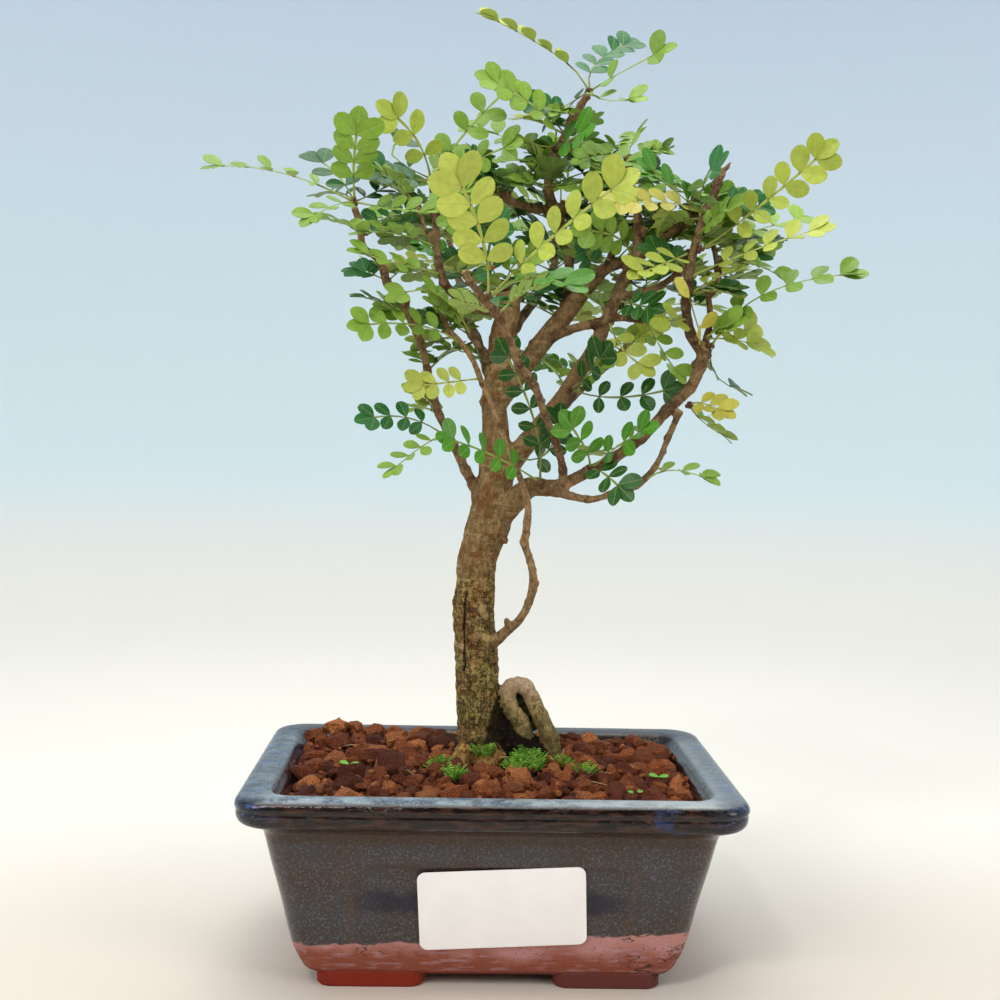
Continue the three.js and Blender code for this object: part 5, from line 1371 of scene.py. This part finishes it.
def add_leaf(heap, start, row, chance):
    """Lays one leaf from its row: an arched winged stalk with its pairs of leaflets and its tip."""
    middle, tip, lean, fold, pairs, blade, age, *spread = row
    spread = spread[0] if spread else USUAL_SPREAD
    start, middle, tip = (np.array(point, float) for point in (start, middle, tip))
    start = start + unit(middle - start) * 1.1
    control = 2 * middle - 0.5 * start - 0.5 * tip
    t = np.linspace(0, 1, 41)[:, None]
    arch = (1 - t) ** 2 * start + 2 * t * (1 - t) * control + t * t * tip
    travelled = np.concatenate([[0], np.cumsum(np.linalg.norm(np.diff(arch, axis=0), axis=1))])
    length = travelled[-1]
    lean, fold = math.radians(lean), math.radians(fold)
    facing = np.array((0, -math.sin(lean), math.cos(lean)))

    def frame_at(distance):
        point = np.array([np.interp(distance, travelled, arch[:, i]) for i in range(3)])
        share = np.interp(distance, travelled, t[:, 0])
        tangent = unit((1 - share) * (control - start) + share * (tip - control))
        face = unit(facing - tangent * (facing @ tangent))
        return point, tangent, face, np.cross(face, tangent)

    one_green, other_green, gloss = LEAF_AGES[age]
    own = chance.random()
    leaf_colour = colour_of(one_green) * own + colour_of(other_green) * (1 - own)
    stalk_colour = 0.45 * leaf_colour + 0.55 * colour_of(STALK_TONE)
    end_start = length - blade * TIP_SHARE
    petiole = min(max(0.25 * length, SHORTEST_PETIOLE), end_start * 0.6)
    nodes = np.linspace(petiole, end_start, pairs)
    # The stalk is round at first, then winged: narrow at each node, widest before the next
    marks = [(0, 0.62, 0.55, 0.7), (0.8, 0.42, 0.38, 0.2), (petiole * 0.6, 0.3, 0.3, 0)]
    wing = 0.045 * blade + 0.14
    for here, there in zip(nodes, nodes[1:]):
        marks.append((here, 0.24, 0.3, 0.9))
        for share, wide in ((0.12, 0.5), (0.5, 0.85), (0.88, 1)):
            marks.append((here + share * (there - here), wing * wide, 0.2, 0))
    marks.append((end_start, 0.22, 0.26, 0.9))
    marks.append((end_start + 0.1 * blade, 0.14, 0.14, 0))
    frames = [frame_at(mark[0]) for mark in marks]
    add_stem(
        heap, [f[0] for f in frames], [f[3] for f in frames], [f[2] for f in frames],
        [mark[1] for mark in marks], [mark[2] for mark in marks], stalk_colour,
        [mark[3] for mark in marks],
    )
    for order, distance in enumerate(nodes):
        point, tangent, face, aside = frame_at(distance)
        # Leaflets grow larger and point farther forward towards the leaf's end
        outward = order / max(pairs - 1, 1)
        size = blade * (0.84 + 0.2 * outward)
        for side in (1, -1):
            slant = math.radians(chance.gauss(spread - SPREAD_LOSS * outward, 5))
            rise = fold + math.radians(chance.gauss(0, 7))
            out = side * aside * math.cos(rise) + face * math.sin(rise)
            turned = face * math.cos(rise) - side * aside * math.sin(rise)
            turned = turned + tangent * chance.gauss(0, 0.14) + out * chance.gauss(0, 0.1)
            way = tangent * math.cos(slant) + out * math.sin(slant)
            shade = leaf_colour * chance.uniform(0.88, 1.14)
            own_size = size * chance.uniform(0.93, 1.07)
            add_leaflet(heap, point + out * 0.2, way, turned, own_size, shade, gloss, chance)
    point, tangent, face, aside = frame_at(end_start)
    shade = leaf_colour * chance.uniform(0.94, 1.14)
    add_leaflet(heap, point, tangent, face, blade * 1.04, shade, gloss, chance)


# Leaf: a waxed skin over pale flesh that light soaks into. The upper side is glossy when old and
# satin when young, the underside is paler and matt, and oil glands show as dots 0.35 mm wide.
leaf, on_leaf = new_finish(
    "waxed_living_leaf", IOR=1.42, Specular_IOR_Level=0.34, Subsurface_Weight=0.12,
    Subsurface_Radius=(0.6, 1.0, 0.25), Subsurface_Scale=0.9 * MM,
)
own_tone = node(leaf, "Attribute", attribute_name="leaf_tone")
under_at, woody_at, gloss_at = (
    node(leaf, "Attribute", read="Fac", attribute_name=name)
    for name in ("under", "woody", "gloss")
)
flat = node(leaf, "UVMap", uv_map="blade")
on_blade = node(leaf, "SeparateXYZ", {0: flat}, read=slice(3))
wide = node(leaf, "Math", {0: on_blade[1], 1: 20}, operation="GREATER_THAN")
wide = node(leaf, "Math", {0: wide, 1: -40, 2: on_blade[1]}, operation="MULTIPLY_ADD")
wide = node(leaf, "Math", {0: wide}, operation="ABSOLUTE")
midrib = node(leaf, "MapRange", {0: wide, 1: 0.26, 2: 0.1}, interpolation_type="LINEAR")
veins = node(leaf, "Math", {0: wide, 1: -0.7, 2: on_blade[0]}, operation="MULTIPLY_ADD")
veins = node(leaf, "Math", {0: veins, 1: 4.6}, operation="MULTIPLY")
veins = node(leaf, "Math", {0: veins}, operation="SINE")
veins = node(leaf, "MapRange", {0: veins, 1: 0.75, 2: 1}, interpolation_type="LINEAR")
mottle = node(leaf, "TexNoise", {"Vector": on_leaf, "Scale": 0.55, "Detail": 3})
glands = node(leaf, "TexVoronoi", {"Vector": flat, "Scale": 1.15})
glands = node(leaf, "MapRange", {0: glands, 1: 0.24, 2: 0.14}, interpolation_type="LINEAR")
shade = node(
    leaf, "MapRange", {0: mottle, 1: 0.3, 2: 0.7, 3: 0.9, 4: 1.1}, interpolation_type="LINEAR"
)
leaf_tone = node(leaf, "VectorMath", {0: own_tone, "Scale": shade}, operation="SCALE")
paler = node(leaf, "Math", {0: midrib, 1: 0.24}, operation="MULTIPLY")
for layer, weight in ((veins, 0.06), (glands, 0.14), (under_at, 0.4)):
    paler = node(
        leaf, "Math", {0: layer, 1: weight, 2: paler}, operation="MULTIPLY_ADD"
    )
leaf_tone = node(leaf, "Mix", {0: paler, 6: leaf_tone, 7: "#B4C47A"}, clamp_factor=True)
leaf_tone = node(leaf, "Mix", {0: woody_at, 6: leaf_tone, 7: "#5A3C26"})
waxed = node(leaf, "MapRange", {0: gloss_at, 3: 0.5, 4: 0.2}, interpolation_type="LINEAR")
waxed = node(leaf, "Math", {0: under_at, 1: 0.25, 2: waxed}, operation="MULTIPLY_ADD")
relief = node(leaf, "Math", {0: midrib, 1: -0.6, 2: mottle}, operation="MULTIPLY_ADD")
for layer, weight in ((veins, -0.25), (glands, 0.2)):
    relief = node(
        leaf, "Math", {0: layer, 1: weight, 2: relief}, operation="MULTIPLY_ADD"
    )
skin = node(leaf, "Bump", {"Height": relief, "Strength": 0.5, "Distance": 0.25 * MM})
coat(leaf, Base_Color=leaf_tone, Roughness=waxed, Normal=skin)

# A bud scale is a small pointed shell, overlapped round the spur
bud_points, bud_faces = ball()
bud_points = bud_points * (0.62, 0.62, 1) * (1 - 0.3 * bud_points[:, 2:] ** 2)

# Inside the crown short shoots along the limbs carry more leaves, held level and outward.
# Each is the spray it belongs to, where it springs from, its leaves, and the arc they spread in.
inner_shoots = [
    ("left_tip", (-44, -4, 230), 3, 20, 150), ("left_tip", (-36, -3, 216), 3, 30, 190),
    ("upright_back", (-22, 7, 239), 5, 10, 200), ("upright_back", (-21, 3, 231), 4, 0, 180),
    ("upright_mid", (-27, -1, 240), 3, 60, 250), ("upright_mid", (-21, -3, 234), 2, -30, 60),
    ("left_low", (-19, 4, 174), 2, 100, 200), ("left_low", (-23, 1, 188), 2, 30, 150),
    ("upright_low", (-28, -1, 203), 3, 100, 240), ("upright_low", (-20, -2, 220), 3, 20, 160),
    ("side_end", (3, 18, 246), 4, 60, 200), ("side_end", (-1, 17, 248), 4, 100, 300),
    ("side_end", (6, 20, 253), 4, 0, 180), ("crown_low", (18, 22, 244), 4, -10, 190),
    ("crown_low", (21, 27, 239), 4, 0, 170), ("crown_mid", (16, 19, 258), 4, 20, 210),
    ("crown_mid", (18, 18, 263), 3, -20, 120), ("main_end", (45, 10, 239), 4, 20, 200),
    ("main_end", (42, 10, 252), 4, 10, 190), ("main_end", (42, 10, 246), 3, 150, 260),
    ("long_side", (57, 3, 236), 3, 30, 150), ("long_side", (62, 0, 247), 4, 60, 240),
    ("long_side", (64, 0, 241), 3, -20, 100), ("right_top", (64, -6, 238), 3, 20, 160),
    ("right_inner", (60, -6, 222), 3, 60, 200), ("back_left", (-15, 52, 229), 4, 40, 220),
    ("back_left", (-12, 46, 215), 3, 0, 200), ("back_middle", (20, 52, 227), 4, -20, 190),
    ("back_middle", (21, 58, 239), 4, 10, 180), ("back_right", (46, 52, 199), 4, -40, 130),
    ("back_right", (34, 42, 188), 3, 60, 200), ("middle_end", (24, 29, 228), 4, -30, 200),
    ("middle_end", (24, 26, 218), 4, 0, 200), ("main_fork", (48, 9, 216), 3, 10, 150),
    ("main_fork", (57, 1, 221), 2, 30, 120), ("middle_end", (21, 18, 207), 4, 20, 220),
    ("main_end", (38, 13, 226), 4, 10, 170), ("trunk_top", (0, 12, 190), 3, 30, 200),
    ("trunk_top", (3, 12, 209), 4, 0, 190), ("main_low", (24, 14, 183), 3, 0, 160),
    ("fork_right", (37, -5, 161), 2, 20, 130), ("short_tip", (38, 10, 207), 3, 20, 150),
    ("twig_low", (69, 4, 217), 3, 10, 150), ("twig_mid", (75, 10, 235), 3, 20, 200),
    ("inner_low", (-9, 6, 200), 3, 90, 240), ("sucker_top", (-14, 3, 199), 2, 120, 230),
    ("right_mid", (61, -6, 232), 4, -70, 60), ("right_mid", (66, -6, 243), 3, 0, 80),
    ("right_low", (60, -6, 214), 3, -60, 40), ("twig_low", (70, 7, 230), 4, -30, 100),
    ("knot", (65, -6, 200), 3, -60, 60), ("crown_tip", (21, 17, 268), 4, 20, 200),
    ("crown_tip", (24, 16, 274), 3, 100, 260), ("side_end", (-2, 17, 250), 4, 60, 280),
    ("upright_back", (-23, 9, 249), 4, 0, 180), ("upright_mid", (-21, -3, 239), 3, 0, 120),
    ("crown_low", (16, 20, 250), 4, 150, 330), ("long_side", (50, 6, 231), 4, -100, 80),
    ("main_end", (41, 10, 260), 4, -30, 210), ("front", (-2, -41, 203), 3, 20, 160),
]
INNER_CLIMB = (-12, 38)
INNER_REACH = (15, 25)
INNER_LEAN = (4, 34)
INNER_FOLD = (8, 30)
INNER_BLADE = (5.4, 6.6)
INNER_AGES = ("mid", "olive", "mid", "bright", "mid", "pale", "teal", "mid", "bright", "dark")
chance = random.Random(11)
inner_leaves = {name: [] for name in sprays}
for name, shoot, leaf_count, first, last in inner_shoots:
    for order in range(leaf_count):
        heading = math.radians(
            first + (last - first) * (order + 0.5) / leaf_count + chance.uniform(-14, 14)
        )
        climb = math.radians(chance.uniform(*INNER_CLIMB))
        reach = chance.uniform(*INNER_REACH)
        way = np.array((
            math.cos(climb) * math.cos(heading), math.cos(climb) * math.sin(heading),
            math.sin(climb),
        ))
        start = np.array(shoot, float)
        middle = start + way * reach * 0.55 + (0, 0, reach * 0.06)
        tip = start + way * reach - (0, 0, reach * 0.05)
        # Leaves behind lean back, and the others lean towards the front
        lean = chance.uniform(*INNER_LEAN) * (-1 if way[1] > 0.35 else 1.7)
        row = (
            middle, tip, lean, chance.uniform(*INNER_FOLD), chance.randint(4, 5),
            chance.uniform(*INNER_BLADE), chance.choice(INNER_AGES),
        )
        inner_leaves[name].append((start, row))

RED_BUD = (-3.6, -47, 215.9)
SPUR_SCALES = 6
BUD_BROWN = "#6A4A30"
BUD_RED = "#A6281C"
chance = random.Random(5)
for name, (at, rows) in sprays.items():
    heap = Heap()
    for row in rows:
        add_leaf(heap, at, row, chance)
    for start, row in inner_leaves[name]:
        add_leaf(heap, start, row, chance)
    scales = SPUR_SCALES if len(rows) > 1 else 1
    for _ in range(scales):
        size = chance.uniform(0.8, 1.25) if scales > 1 else 0.75
        offset = np.array([chance.gauss(0, 1), chance.gauss(0, 1), chance.gauss(0, 1)])
        offset = unit(offset) * (0.9 if scales > 1 else 0)
        shell = bud_points @ any_turn(chance).T * size * 1.15 + np.array(at, float) + offset
        heap.add(
            shell, bud_faces, leaf_tone=colour_of(BUD_BROWN), under=0,
            woody=chance.uniform(0.55, 1), gloss=0.1, blade=OFF_BLADE,
        )
    if name == "front":
        # One bud at the foot of this spray is still closed and red
        heap.add(
            bud_points * 0.9 + RED_BUD, bud_faces, leaf_tone=colour_of(BUD_RED), under=0,
            woody=0, gloss=0.6, blade=OFF_BLADE,
        )
    spray = heap.make("leaves_" + name)
    shade_smooth(spray, 50)
    wear(spray, leaf)
    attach(spray, "root")
    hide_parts("spray_" + name)

# Moss: feathery green shoots, soft and matt, rooted in the damp soil round the trunk's foot.
# Each tuft is some dozens of fronds 2 to 7 mm long that lean out from its middle.
FROND_BODY = 0.12 * MM
frond = Heap()
stem_line = np.array([(0, 0, 0), (0.08, 0, 0.5), (0.24, 0, 0.95), (0.46, 0, 1.25)])
for step in range(7):
    share = 0.12 + step * 0.13
    spot = np.array([
        np.interp(share, (0, 0.4, 0.75, 1), stem_line[:, i]) for i in range(3)
    ])
    reach = 0.34 * (1 - 0.55 * share)
    for side in (1, -1):
        frond.add(
            np.array([spot, spot + (0.1, side * reach, 0.1), spot + (0.08, 0.02 * side, 0.1)]),
            [(0, 1, 2)] if side < 0 else [(0, 2, 1)],
        )
frond_points = np.vstack(frond.points)
frond_faces = frond.faces
MOSS_TUFTS = [
    (-2.6, 1.8, 63.2, 2), (-15, -6.5, 60, 2.6), (-17, -8, 59.6, 1.6), (-11.5, -18, 60, 2.2),
    (11.6, 0.5, 61.8, 3), (9.4, -4.6, 60.4, 2.8), (13.4, -5.4, 60.2, 2.2), (8, -8.6, 60, 2),
    (15, -1, 61, 2), (24, -1.5, 60, 1.6), (29.8, -12, 60.2, 2),
]
chance = random.Random(17)
moss = Heap()
MOSS_TONES = [colour_of(c) for c in ("#649A28", "#82B43C", "#4C7E20", "#98C04C")]
FRONDS = 32
for x, y, z, spread in MOSS_TUFTS:
    for _ in range(int(FRONDS * spread)):
        turn = chance.uniform(0, math.tau)
        out = spread * math.sqrt(chance.random()) * 0.8
        lean = np.array(
            Matrix.Rotation(turn, 3, "Z") @ Matrix.Rotation(0.7 * out / spread, 3, "Y")
        )
        size = chance.uniform(2.3, 4.4) * (1.15 - 0.45 * out / spread)
        spot = np.array((x + out * math.cos(turn), y + out * math.sin(turn) * 0.8, z - 0.6))
        colour = chance.choice(MOSS_TONES) * chance.uniform(0.8, 1.2)
        moss.add(frond_points @ lean.T * size + spot, frond_faces, leaf_tone=colour)
moss_piece = moss.make("moss_tufts")
change(moss_piece, "SOLIDIFY", thickness=FROND_BODY)
velvet, on_moss = new_finish(
    "soft_green_moss", IOR=1.4, Roughness=0.75, Subsurface_Weight=0.1,
    Subsurface_Radius=(0.5, 1.0, 0.2), Subsurface_Scale=0.6 * MM,
)
own_tone = node(velvet, "Attribute", attribute_name="leaf_tone")
tufty = node(velvet, "TexNoise", {"Vector": on_moss, "Scale": 0.9, "Detail": 3})
tufty = node(
    velvet, "MapRange", {0: tufty, 1: 0.3, 2: 0.7, 3: 0.7, 4: 1.3}, interpolation_type="LINEAR"
)
moss_tone = node(velvet, "VectorMath", {0: own_tone, "Scale": tufty}, operation="SCALE")
coat(velvet, Base_Color=moss_tone)
wear(moss_piece, velvet)
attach(moss_piece, "root")

# Seedlings: small weeds with two round seed leaves on a thread of a stem, living and waxy
SEEDLING_GREEN = "#6CB03A"
seedlings = Heap()
chance = random.Random(29)
SEEDLINGS = [(-45.6, -6, 57.6, 3.2), (53.6, -15, 57.2, 3.2), (44, -30, 56.6, 2.6)]
for x, y, z, size in SEEDLINGS:
    foot = np.array((x, y, z))
    head = foot + (chance.uniform(-1, 1), -0.6, size * 1.1)
    green = colour_of(SEEDLING_GREEN)
    add_stem(
        seedlings, [foot, 0.5 * (foot + head) + (0.3, 0, 0), head], [np.array((1, 0, 0))] * 3,
        [np.array((0, -1, 0))] * 3, [0.22, 0.18, 0.16], [0.22, 0.18, 0.16], green, [0, 0, 0],
    )
    turn = chance.uniform(-0.5, 0.5)
    for way_turn in (turn, turn + math.pi):
        way = unit(np.array((math.cos(way_turn), math.sin(way_turn), 0.25)))
        add_leaflet(seedlings, head, way, np.array((0, -0.3, 1.0)), size, green, 0.4, chance)
seedling_piece = seedlings.make("seedlings")
wear(seedling_piece, leaf)
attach(seedling_piece, "root")

# Fine roots and chaff: orange-brown rootlets that creep from the trunk's foot over the soil,
# and a few dry stalks and flakes of bark that have dropped on it, dead and dull.
ROOTLET_BROWN = "#8A5A30"
STRAW = "#B89A6A"
ROOTLETS = 12
ROOTLET_STEPS = 9
STALKS = 13
UPWARD = np.array((0, 0, 1.0))
litter = Heap()
chance = random.Random(31)
for _ in range(ROOTLETS):
    angle = chance.uniform(-2.7, -0.3)
    reach = chance.uniform(7, 14)
    x, y = -4 + 6 * math.cos(angle), 11 + 6 * math.sin(angle)
    line = []
    for step in range(ROOTLET_STEPS):
        share = step / (ROOTLET_STEPS - 1)
        sway = [1.3 * noise.noise(Vector((angle * 9, share * 4, kind))) for kind in (1, 7)]
        px = x + math.cos(angle) * reach * share + sway[0]
        py = y + math.sin(angle) * reach * share + sway[1]
        line.append((px, py, max(soil_height(px, py) + 1.6, 66 - 12 * share) - 3.2 * share ** 3))
    line = np.array(line)
    thick = np.linspace(0.55, 0.2, ROOTLET_STEPS) * chance.uniform(0.7, 1.2)
    ways = [unit(np.cross(b - a, UPWARD)) for a, b in zip(line, line[1:])]
    ways.append(ways[-1])
    add_stem(
        litter, line, ways, [UPWARD] * ROOTLET_STEPS, thick, thick,
        colour_of(ROOTLET_BROWN) * chance.uniform(0.7, 1.3), [0.2] * ROOTLET_STEPS,
    )
for _ in range(STALKS):
    x, y = chance.uniform(-58, 58), chance.uniform(-38, 20)
    way = chance.uniform(0, math.pi)
    reach = chance.uniform(2, 6)
    z = soil_height(x, y) + 3.2
    run = np.array((math.cos(way), math.sin(way), 0)) * reach
    ends = [np.array((x, y, z)) + run * share for share in (-1, 0, 1)]
    if not all(within_pot(p[0], p[1], 2) and clear_of_wood(*p, 1) for p in ends):
        continue
    aside = np.array((-math.sin(way), math.cos(way), 0))
    add_stem(
        litter, ends, [aside] * 3, [UPWARD] * 3, [0.2, 0.3, 0.15], [0.15, 0.2, 0.1],
        colour_of(STRAW) * chance.uniform(0.6, 1.1), [0.1] * 3,
    )
litter_piece = litter.make("fine_roots_and_chaff")
husk, on_husk = new_finish("dry_root_and_straw", IOR=1.45, Roughness=0.85)
own_tone = node(husk, "Attribute", attribute_name="leaf_tone")
streak = node(husk, "TexNoise", {"Vector": on_husk, "Scale": 1.4, "Detail": 4})
streak = node(
    husk, "MapRange", {0: streak, 1: 0.3, 2: 0.7, 3: 0.65, 4: 1.25}, interpolation_type="LINEAR"
)
husk_tone = node(husk, "VectorMath", {0: own_tone, "Scale": streak}, operation="SCALE")
skin = node(husk, "Bump", {"Height": streak, "Strength": 0.6, "Distance": 0.2 * MM})
coat(husk, Base_Color=husk_tone, Normal=skin)
wear(litter_piece, husk)
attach(litter_piece, "root")

# Studio: a plain cream floor that turns up all round into pale blue, large soft lamps and one
# small bright one. The room beyond the floor's front edge is dark, as glossy things mirror it.
FLOOR_RADIUS = 0.7
SWEEP_WIDTH = 0.9
SWEEP_HEIGHT = 1.1
WALL_TOP = 1.8
LAMP_COLOUR = (1, 0.98, 0.955)
LAMPS_FACE = Vector((0, 0, 0.13))
start_clean()
bpy.ops.mesh.primitive_circle_add(vertices=128, radius=FLOOR_RADIUS, location=place(0, 0, 0))
studio = bpy.context.object
bpy.ops.object.mode_set(mode="EDIT")
bpy.ops.mesh.select_all(action="SELECT")
# Radius and height of each step from the floor up the backdrop
sweep = [
    (FLOOR_RADIUS + SWEEP_WIDTH * math.sin(turn), SWEEP_HEIGHT * (1 - math.cos(turn)))
    for turn in np.radians(np.arange(0, 91, 7.5)).tolist()
]
sweep.append((FLOOR_RADIUS + SWEEP_WIDTH, WALL_TOP))
for (radius, height), (next_radius, next_height) in zip(sweep, sweep[1:]):
    bpy.ops.mesh.extrude_edges_move(
        TRANSFORM_OT_translate={"value": (0, 0, next_height - height)}
    )
    bpy.ops.transform.resize(
        value=(next_radius / radius, next_radius / radius, 1),
        center_override=place(0, 0, next_height / MM),
    )
bpy.ops.object.mode_set(mode="OBJECT")
for vertex in studio.data.vertices:
    vertex.select = abs(vertex.co.z) < 1e-5
bpy.ops.object.mode_set(mode="EDIT")
bpy.ops.mesh.edge_face_add()
bpy.ops.object.mode_set(mode="OBJECT")
bpy.ops.object.shade_smooth()
settle(studio, "studio_sweep")
paint, on_studio = new_finish("matt_painted_backdrop", Roughness=0.9)
_, deep, rise = node(paint, "SeparateXYZ", {0: on_studio}, read=slice(3))
low_rise = node(paint, "MapRange", {0: rise, 1: 2, 2: 150})
high_rise = node(paint, "MapRange", {0: rise, 1: 160, 2: 800})
backdrop_tone = node(paint, "Mix", {0: low_rise, 6: "#F3EDE2", 7: "#DCECEF"})
near = node(paint, "MapRange", {0: deep, 1: 180, 2: -40})
on_floor = node(paint, "MapRange", {0: rise, 1: 20, 2: 2})
near = node(paint, "Math", {0: near, 1: on_floor}, operation="MULTIPLY")
# Darker towards the front
towards_front = node(paint, "MapRange", {0: deep, 1: -380, 2: -900, 4: 0.8})
for share, layer in ((high_rise, "#E3EFFC"), (near, "#E0D6C9"), (towards_front, "#3E3A36")):
    backdrop_tone = node(paint, "Mix", {0: share, 6: backdrop_tone, 7: layer})
coat(paint, Base_Color=backdrop_tone)
wear(studio, paint)

# Each lamp's name, place in metres, width and watts
lamps = [
    ("overhead", (-0.15, -0.1, 1.25), 1.0, 8.4),
    ("front_left", (-0.75, -0.85, 0.75), 0.6, 5.4),
    ("front_right", (0.8, -0.7, 0.6), 0.6, 4.0),
    ("behind", (0.2, 0.5, 1.3), 0.8, 3.6),
    ("small_bright", (-0.35, -0.75, 0.95), 0.1, 1.8),
]
for name, spot, size, watts in lamps:
    data = bpy.data.lights.new(name, "AREA")
    data.shape = "DISK"
    data.size = size
    data.energy = watts
    data.color = LAMP_COLOUR
    lamp = bpy.data.objects.new(name, data)
    lamp.visible_camera = False
    towards = LAMPS_FACE - Vector(spot)
    lamp.matrix_world = (
        Matrix.Translation(spot) @ towards.to_track_quat("-Z", "Y").to_matrix().to_4x4()
    )
    bpy.context.collection.objects.link(lamp)
world = bpy.data.worlds.new("pale_sky")
bpy.context.scene.world = world
world.use_nodes = True
sky = world.node_tree.nodes["Background"]
sky.inputs["Color"].default_value = tone("#F2F0EC")
sky.inputs["Strength"].default_value = 0.6
bpy.context.scene.view_settings.view_transform = "Standard"
bpy.context.scene.view_settings.look = "None"
